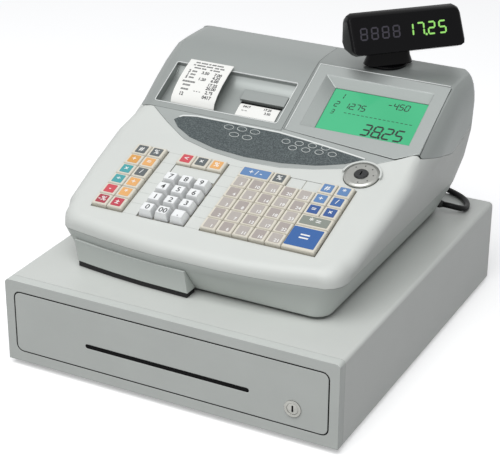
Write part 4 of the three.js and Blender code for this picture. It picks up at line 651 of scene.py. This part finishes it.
# Blank covers, in the case's own plastic, close the key places that this machine leaves unused.
triple_width, single_width, cover_length = 57.6, 18.9, 17.2
cover_radius, cover_rise, cover_edge = 0.8, 1.1, 0.3
covers = [(key_spot(number_first, 1, 1), triple_width)]
covers += [(key_spot(right_first, column, 0), single_width) for column in (3, 4)]
blank_covers = bmesh.new()
for centre, width in covers:
    slab(blank_covers, rounded(centre, width, cover_length, cover_radius), key_frame, 0, cover_rise,
         cover_edge)
piece("blank_key_covers", blank_covers, [case_abs], "cabinet_and_register")

# Shallow moulded lines carry the key rows across the case between the three key fields.
gap_middles, gap_width = (-90.9, -11.9), 15.5
line_width, line_radius, line_seat, line_rise, line_edge = 0.5, 0.2, 0.3, 0.05, 0.02
row_lines = bmesh.new()
for row in range(7):
    along = last_row_along + (row - 0.5) * row_pitch
    for middle in gap_middles:
        slab(row_lines, rounded((middle, along), gap_width, line_width, line_radius, 1), key_frame,
             -line_seat, line_rise, line_edge)
row_shade = moulded("shaded moulded line", "#BFC3BE", 0.6, grain=0.8, relief=0.02)
piece("key_row_lines", row_lines, [row_shade], "cabinet_and_register")


# Number keys: tall white PBT caps with dished tops, each on its own stem. The plastic is smooth with
# a short soft highlight, and the figures are dyed into it in dark grey.
key_white = moulded("white moulded PBT", "#F1F3F3", 0.36, grain=0.8, relief=0.015, tone=0.015, painted_shade=0.45,
                    corner=0.9)
figure_ink = printed("dark dyed figure", "#191C1E", 0.5)


def skin_of(node):
    mesh = nodes[node].data
    return BVHTree.FromPolygons([v.co for v in mesh.vertices], [tuple(p.vertices) for p in mesh.polygons])


number_keys = {
    "7": (0, 2), "8": (1, 2), "9": (2, 2), "4": (0, 3), "5": (1, 3), "6": (2, 3), "1": (0, 4), "2": (1, 4),
    "3": (2, 4), "0": (0, 5), "00": (1, 5), "point": (2, 5),
}
figure_height, above_caps, figure_lift = 7.4, 9.5, 0.06
for key, (column, row) in number_keys.items():
    dress(key_white, f"key_{key}")
    cap_spot = Matrix.Translation((*key_spot(number_first, column, row), above_caps))
    figure = bmesh.new()
    lettering(figure, "." if key == "point" else key, figure_height, key_frame @ cap_spot,
              sheet=skin_of(f"key_{key}"), lift=figure_lift)
    piece(f"figure_on_key_{key}", figure, [figure_ink], f"key_{key}")


# Mode switch: a satin zinc dial plate, speckled by its cast surface, lies on the upper case round
# a black acetal barrel with a keyway; dark dots are printed on the plate round the barrel.
dial_metal = plated("cast satin zinc", "#A9AAA6", 0.42, across=1.2, along=1.2, relief=0.06)
dress(dial_metal, "mode_switch_plate")
switch_black = moulded("black acetal", "#17181A", 0.38, grain=0.8, relief=0.02, tone=0.1, corner=0.5)
dress(switch_black, "mode_switch_barrel")
switch_place = key_frame @ Matrix.Translation((130.7, 157.4, 0))
mark_reach = Matrix.Translation((13.6, 0, 12))
mark_height, first_turn, turn_step = 9, 150, 44
dial_skin = skin_of("mode_switch_plate")
dial_marks = bmesh.new()
for k in range(6):
    mark_turn = Matrix.Rotation(math.radians(first_turn - turn_step * k), 4, "Z")
    lettering(dial_marks, ".", mark_height, switch_place @ mark_turn @ mark_reach, sheet=dial_skin, lift=0.05)
piece("mode_dial_marks", dial_marks, [figure_ink], "cabinet_and_register")


# Hood: ABS mouldings clipped onto the case, the lid on its hinge pins. Their silver paint carries fine
# aluminium flake, so it brightens towards the light. The paler bezel and frame and the darker fixed
# hood are lit and shaded copies of one paint: painted light and shade.
for node, code in (("fixed_hood", "#919694"), ("printer_cover", "#9BA09E"), ("display_bezel", "#A6ABA9"),
                   ("label_frame", "#A6ABA9")):
    silver_abs = moulded("silver painted ABS", code, 0.4, grain=1.1, tone=0.04, corner=1.0, metal=0.5)
    dress(silver_abs, node)


# Crescent: a slate grey printed film, glued into the hollow between case and hood. It is matt with
# paler flecks, carries a scatter of thin oval rings, and has a silver frame along its front.
def speckled(name, code, fleck, grain):
    material, tree, shader = new_material(name)
    fine = pattern(tree, "ShaderNodeTexNoise", grain, 4)
    flecks = add(tree, "ShaderNodeMapRange", inputs={"From Min": 0.42, "From Max": 0.66},
                 links={"Value": fine.outputs["Fac"]})
    body = add(tree, "ShaderNodeMix", {"data_type": "RGBA"}, {6: colour(code), 7: colour(fleck)},
               {0: flecks.outputs[0]})
    tree.links.new(body.outputs[2], shader.inputs["Base Color"])
    shader.inputs["Roughness"].default_value = 0.42
    skin = add(tree, "ShaderNodeBump", inputs={"Strength": 0.6, "Distance": 0.00003},
               links={"Height": fine.outputs["Fac"]})
    tree.links.new(skin.outputs[0], shader.inputs["Normal"])
    return material


slate_film = speckled("printed slate film", "#333C3F", "#5D6767", 1.6)
dress(slate_film, "label_panel")


photo_width, photo_height = 500, 467


def seen_at(px, py, node):
    across = (px - photo_width / 2) / photo_width * sensor_width / lens
    along = (photo_height / 2 - py) / photo_width * sensor_width / lens
    start = aim + back * distance
    course = (right * across + up * along - back).normalized()
    return skin_of(node).ray_cast(start, course)[:2]


ring_steps, ring_low, ring_high, ring_probe = 20, 0.02, 0.08, 0.01


def oval(form, centre, normal, width, height, line, sheet):
    side = Vector((1, 0, 0))
    side = (side - normal * side.dot(normal)).normalized()
    rise = normal.cross(side)
    rings = []
    for shrink, lift in ((0, ring_low), (0, ring_high), (line, ring_high), (line, ring_low)):
        ring = []
        for k in range(ring_steps):
            angle = math.tau * k / ring_steps
            foot = centre + (side * (width / 2 - shrink) * math.cos(angle)
                             + rise * (height / 2 - shrink) * math.sin(angle)) / 1000
            hit = sheet.ray_cast(foot + normal * ring_probe, -normal)[0]
            ring.append(form.verts.new((hit or foot) + normal * lift / 1000))
        rings.append(ring)
    for inner, outer in zip(rings, rings[1:] + rings[:1]):
        for k in range(ring_steps):
            after = (k + 1) % ring_steps
            form.faces.new((inner[k], inner[after], outer[after], outer[k]))


# The rings' places are points of the picture, cast onto the film from the camera: five in a cluster,
# then a row of smaller ones in a zigzag.
cluster_size, row_size, ring_line = (12.5, 7.4), (10.5, 7.2), 0.6
cluster = ((229, 127), (242, 129), (255, 132), (234, 134.5), (247, 137.5))
ring_spots = [(spot, cluster_size) for spot in cluster]
for k in range(8):
    ring_spots.append(((286 + 6.6 * k, 142.5 + 1.1 * k + (4.2 if k % 2 else -1.2)), row_size))
film_sheet = skin_of("label_panel")
film_marks = bmesh.new()
for spot, size in ring_spots:
    oval(film_marks, *seen_at(*spot, "label_panel"), *size, ring_line, film_sheet)
film_ink = printed("pale film ink", "#C9CECB", 0.45)
piece("film_ovals", film_marks, [film_ink], "cabinet_and_register")


# Operator display: a flat acrylic window, clipped into its bezel, over a green backlit liquid crystal
# panel. It has a thin clear gloss, and its figures and rules are nearly black.
hood_front = (0, -2.3, 224.0)
hood_slope = math.atan(0.535)
hood_frame = to_metres @ Matrix.Translation(hood_front) @ Matrix.Rotation(hood_slope, 4, "X")
lcd_green, lcd_tree, lcd_shader = new_material("backlit liquid crystal window")
lcd_place = add(lcd_tree, "ShaderNodeTexCoord").outputs["Object"]
lcd_glow = add(lcd_tree, "ShaderNodeTexNoise", inputs={"Scale": 12.0, "Detail": 1.0},
               links={"Vector": lcd_place})
lcd_body = add(lcd_tree, "ShaderNodeMix", {"data_type": "RGBA"}, {6: colour("#45AF7C"), 7: colour("#54BE8C")},
               {0: lcd_glow.outputs["Fac"]})
lcd_tree.links.new(lcd_body.outputs[2], lcd_shader.inputs["Base Color"])
lcd_tree.links.new(lcd_body.outputs[2], lcd_shader.inputs["Emission Color"])
lcd_shader.inputs["Emission Strength"].default_value = 0.08
lcd_shader.inputs["Roughness"].default_value = 0.12
lcd_shader.inputs["IOR"].default_value = 1.5
lcd_shader.inputs["Specular IOR Level"].default_value = 0.15
dress(lcd_green, "display_glass")
segment_table = {
    "0": "abcdef", "1": "bc", "2": "abged", "3": "abgcd", "4": "fgbc", "5": "afgcd", "7": "abc",
    "8": "abcdefg", "-": "g",
}
segment_runs = {
    "a": (-1, 1, 1, 1), "b": (1, 1, 1, 0), "c": (1, 0, 1, -1), "d": (-1, -1, 1, -1),
    "e": (-1, -1, -1, 0), "f": (-1, 0, -1, 1), "g": (-1, 0, 1, 0),
}
stroke_share, half_width_share, middle_share = 0.125, 0.25, 0.34
dot_back, dot_size, joint_gap, tip_cut, segment_edge = 0.14, 1.3, 0.12, 0.4, 0.01


def seven_segments(form, words, start, height, place, low, high, index=0, lean=0.12, stride=0.74):
    stroke = height * stroke_share
    half_width = height * half_width_share
    half_height = height / 2 - stroke / 2
    pen = start[0]
    for sign in words:
        if sign == ".":
            dot = rounded((pen - height * dot_back, start[1] - half_height), stroke * dot_size,
                          stroke * dot_size, stroke * tip_cut)
            slab(form, dot, place, low, high, segment_edge, index)
            continue
        for name in segment_table[sign]:
            x0, y0, x1, y1 = segment_runs[name]
            first = Vector((x0 * half_width, y0 * half_height))
            last = Vector((x1 * half_width, y1 * half_height))
            course = (last - first).normalized()
            first = first + course * stroke * joint_gap
            last = last - course * stroke * joint_gap
            aside = Vector((-course.y, course.x)) * stroke / 2
            cut = course * stroke * tip_cut
            bar = [first, first + (aside + cut), last + (aside - cut), last,
                   last - (aside + cut), first - (aside - cut)]
            outline = [(pen + height * middle_share + p.x + lean * p.y, start[1] + p.y) for p in bar]
            slab(form, outline, place, low, high, segment_edge, index)
        pen += height * stride


window_top = -9.3
mark_low, mark_high = window_top + 0.02, window_top + 0.1
lcd_rows = [
    ("1", (54, 104), 9), ("-4.50", (114, 103), 9.5), ("2", (52, 91), 9), ("12.75", (64, 91), 9.5),
    ("3", (52, 79), 7), ("38.25", (98, 61), 18),
]
lcd_marks = bmesh.new()
for words, start, height in lcd_rows:
    seven_segments(lcd_marks, words, start, height, hood_frame, mark_low, mark_high)
dash_first, dash_pitch, dash_along, dash_width, dash_line = 70, 5.4, 80, 3.4, 0.8
rule_middle, rule_width, rule_line, rule_radius = (104, 50), 104, 0.7, 0.3
rules = [((dash_first + dash_pitch * k, dash_along), dash_width, dash_line) for k in range(16)]
rules.append((rule_middle, rule_width, rule_line))
for centre, width, line in rules:
    slab(lcd_marks, rounded(centre, width, line, rule_radius, 2), hood_frame, mark_low, mark_high,
         segment_edge)
piece("operator_display_figures", lcd_marks, [printed("dark liquid crystal segment", "#06120D", 0.7)],
      "cabinet_and_register")


# Hood beads: thin round edges of ABS, moulded in one with the rear of the crescent and with the rim of
# the display bezel. They are smooth, and their near white is a painted highlight, the fine line of light
# that these edges catch.
def bead(name, points, radius, material, body, closed=False):
    curve = bpy.data.curves.new(name, "CURVE")
    curve.dimensions = "3D"
    curve.bevel_depth = radius / 1000
    curve.bevel_resolution = 2
    curve.use_fill_caps = True
    spline = curve.splines.new("POLY")
    spline.points.add(len(points) - 1)
    for point, spot in zip(spline.points, points):
        point.co = (*(hood_frame @ Vector(spot)), 1)
    spline.use_cyclic_u = closed
    curve.materials.append(material)
    thing = bpy.data.objects.new(name, curve)
    scene.collection.objects.link(thing)
    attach(thing, body)


highlight_bead_abs = moulded("painted highlight edge ABS", "#E9ECEA", 0.38, grain=0.9, relief=0.02, tone=0.02, painted_shade=0.1)
bead_level = 0.1
film_bead_radius, bezel_bead_radius = 1.1, 0.5
film_rear = [
    (-117, 20.5), (-113, 23.3), (-104, 25), (-95, 26.3), (12, 26.3), (31, 24.4), (48, 22.8), (86, 18.1),
    (124, 12.8),
]
bead("film_rear_bead", [(x, y, bead_level) for x, y in film_rear], film_bead_radius, highlight_bead_abs,
     "cabinet_and_register")
bezel_rim = [(16, 34.5), (16, 138.5), (179, 138.5)]
bead("bezel_rim", [(x, y, bead_level) for x, y in bezel_rim], bezel_bead_radius, highlight_bead_abs,
     "cabinet_and_register")


# Receipt pocket: a hollow moulded in the printer's lid. A bright ABS bead runs round its rim, and a
# cove in near white silver, moulded in one with the lid, rounds off its rear wall. The bead's and the
# cove's brightness are painted highlights, the light that the rim and the rear wall catch.
rim_middle, rim_width, rim_length, rim_radius = (-78.75, 70.75), 162.5, 64.5, 2.5
rim_level, rim_bead_radius = 0.05, 0.6
rim_line = rounded(rim_middle, rim_width, rim_length, rim_radius)
bead("pocket_rim", [(x, y, rim_level) for x, y in rim_line], rim_bead_radius, highlight_bead_abs, "printer_lid",
     closed=True)
cove_front, cove_reach, cove_floor, cove_height = 91, 12, -10.8, 10.2
cove_back, cove_foot, cove_top, cove_underside = 103, 103.4, -0.6, -11.4
pocket_cove = bmesh.new()
cove_line = [(cove_back, cove_top)]
for angle in (75, 60, 45, 30, 15, 0):
    cove_line.append((cove_front + cove_reach * math.sin(math.radians(angle)),
                      cove_floor + cove_height * (1 - math.cos(math.radians(angle)))))
cove_line += [(cove_front, cove_underside), (cove_foot, cove_underside)]
for across in (-159.7, 2.2):
    pocket_cove.faces.new([pocket_cove.verts.new(hood_frame @ Vector((across, y, n))) for y, n in cove_line])
pocket_cove.verts.ensure_lookup_table()
turns = len(cove_line)
for k in range(turns):
    after = (k + 1) % turns
    pocket_cove.faces.new([pocket_cove.verts[v] for v in (k, after, turns + after, turns + k)])
# Painted highlight: the cove's silver is near white for the light on the pocket's rear wall.
cove_highlight_paint = moulded("painted highlight silver", "#F4F6F5", 0.3, relief=0.02, tone=0.02, painted_shade=0.0, metal=0.5)
piece("pocket_cove", pocket_cove, [cove_highlight_paint], "printer_lid")


# Paper: thin uncoated thermal paper, white with a very faint fibre cloud, on two loose rolls, with
# the receipt strip held in its slot and the journal strip under its visor.
thermal_paper = moulded("thermal paper", "#F4F4F0", 0.75, grain=0.6, relief=0.01, tone=0.02, painted_shade=0.15,
                        corner=0.2)
dress(thermal_paper, "receipt_paper", "receipt_roll", "journal_roll")
receipt_sheet = skin_of("receipt_paper")
receipt_print = bmesh.new()
small_print, tall_print = 3.6, 4.2
receipt_rows = [
    (102.5, small_print, ((-119, "== === = =="), (-100, "==="))),
    (98, small_print, ((-121, "= ==== ==="), (-99, "== =="))),
    (93.5, small_print, ((-123, "=== =="), (-103, "= ==="))),
    (87.5, tall_print, ((-130, "2 =="), (-113, "3.50"), (-96, "7.00"))),
    (82.5, tall_print, ((-130, "1 =="), (-96, "4.25"))),
    (77.5, tall_print, ((-130, "5 =="), (-113, "1.20"), (-96, "6.00"))),
    (71, tall_print, ((-128, "====="), (-96, "17.25"))),
    (66, tall_print, ((-129, "==="), (-96, "20.00"))),
    (60, tall_print, ((-129, "==="), (-112, "- - -"), (-96, "2.75"))),
    (54, tall_print, ((-131, "12"), (-97, "0417"))),
]
above_receipt, receipt_lift, print_weight = 8, 0.05, 0.2
for along, height, groups in receipt_rows:
    for across, words in groups:
        spot = Matrix.Translation((across, along, above_receipt))
        lettering(receipt_print, words, height, hood_frame @ spot, sheet=receipt_sheet, lift=receipt_lift,
                  weight=print_weight)
print_ink = printed("thermal print", "#1B1C20", 0.6)
piece("receipt_print", receipt_print, [print_ink], "printer_lid")
strip_line = [(67.2, -13.4), (66.6, -11), (64.5, -9.9), (60, -9.6), (54, -9.8), (47.5, -10.2)]
strip_sides, strip_thickness = (-59, -7), 0.16
journal_print_height, above_strip = 3.4, -9.4
journal_strip = bmesh.new()
for across in strip_sides:
    for rise in (0, strip_thickness):
        for y, n in strip_line:
            journal_strip.verts.new(hood_frame @ Vector((across, y, n + rise)))
journal_strip.verts.ensure_lookup_table()
runs = len(strip_line)
for k in range(runs - 1):
    for first, second in ((0, 2), (1, 3), (0, 1), (2, 3)):
        journal_strip.faces.new([journal_strip.verts[v] for v in (
            first * runs + k, first * runs + k + 1, second * runs + k + 1, second * runs + k)])
for k in (0, runs - 1):
    journal_strip.faces.new([journal_strip.verts[v * runs + k] for v in (0, 1, 3, 2)])
journal_rows = [(-49, 61.5, "0417"), (-22, 62, "17.25"), (-50, 56, "-- --"), (-20, 56.5, "3.50")]
for across, along, words in journal_rows:
    spot = Matrix.Translation((across, along, above_strip))
    lettering(journal_strip, words, journal_print_height, hood_frame @ spot, 1)
piece("journal_strip", journal_strip, [thermal_paper, print_ink], "printer_lid")


# Printer works: a streaked, softly shining chassis of drawn zinc plated steel on the register base's
# posts. It carries a dark grey polypropylene take up spool and a platen in matt nitrile rubber.
dress(drawn_steel, "printer_chassis")
dress(till_moulding, "take_up_spool")
dress(soft_rubber, "platen_roller")


# Customer display: a black acrylic head that turns on a black neck, which stands in the hood. The
# acrylic is deep black with a clear gloss, and green lit figures stand in its front.
gloss_black = moulded("gloss black acrylic", "#08080A", 0.2, grain=3.0, relief=0.0, tone=0.1, painted_shade=0.1,
                      corner=1.2, gloss=0.1)
dress(gloss_black, "display_neck", "display_head")
swivel_top, head_turn, face_distance = (88, 151, 291.6), math.radians(46), 40
display_place = (to_metres @ Matrix.Translation(swivel_top) @ Matrix.Rotation(head_turn, 4, "Z")
                 @ Matrix.Translation((0, -face_distance, 0)) @ Matrix.Rotation(math.pi / 2, 4, "X"))
head_skin = skin_of("display_head")


def front_spot(across, rise):
    start = display_place @ Vector((across, rise, 0))
    inward = (display_place.to_3x3() @ Vector((0, 0, -1))).normalized()
    return head_skin.ray_cast(start, inward)[0] * 1000


# Three points that are cast onto the head's front give the plane that its figures lie on.
origin = front_spot(30, 40)
along_face = (front_spot(70, 40) - origin).normalized()
up_face = front_spot(30, 52) - origin
up_face = (up_face - along_face * up_face.dot(along_face)).normalized()
out_face = along_face.cross(up_face)
face_turn = Matrix((along_face, up_face, out_face)).transposed().to_4x4()
face_place = to_metres @ Matrix.Translation(origin) @ face_turn


# The lit segments glow green through a fine mesh, and the unlit ones glow faintly in dark violet, which is
# painted light.
mesh_size = 0.6


def glowing(name, code, strength):
    material, tree, shader = new_material(name)
    mesh_dots = pattern(tree, "ShaderNodeTexVoronoi", mesh_size, 0)
    glow = add(tree, "ShaderNodeMix", {"data_type": "RGBA"}, {6: shaded(code, 1.0), 7: shaded(code, 0.8)},
               {0: mesh_dots.outputs["Distance"]})
    tree.links.new(glow.outputs[2], shader.inputs["Emission Color"])
    shader.inputs["Base Color"].default_value = colour("#060608")
    shader.inputs["Emission Strength"].default_value = strength
    return material


face_gap, lit_rise, unlit_rise, face_lean = 0.03, 0.15, 0.12, 0.08
lit_height, lit_stride, unlit_height, unlit_stride = 16, 0.86, 15, 0.9
lit_figures = bmesh.new()
seven_segments(lit_figures, "17.25", (-15, 4.5), lit_height, face_place, face_gap, lit_rise, 0, face_lean,
               lit_stride)
seven_segments(lit_figures, "8888", (-72, 4.5), unlit_height, face_place, face_gap, unlit_rise, 1, face_lean,
               unlit_stride)
piece("customer_display_figures", lit_figures,
      [glowing("green fluorescent segment", "#9BE86B", 1.0), glowing("unlit segment", "#2C1A48", 0.25)],
      "customer_display")
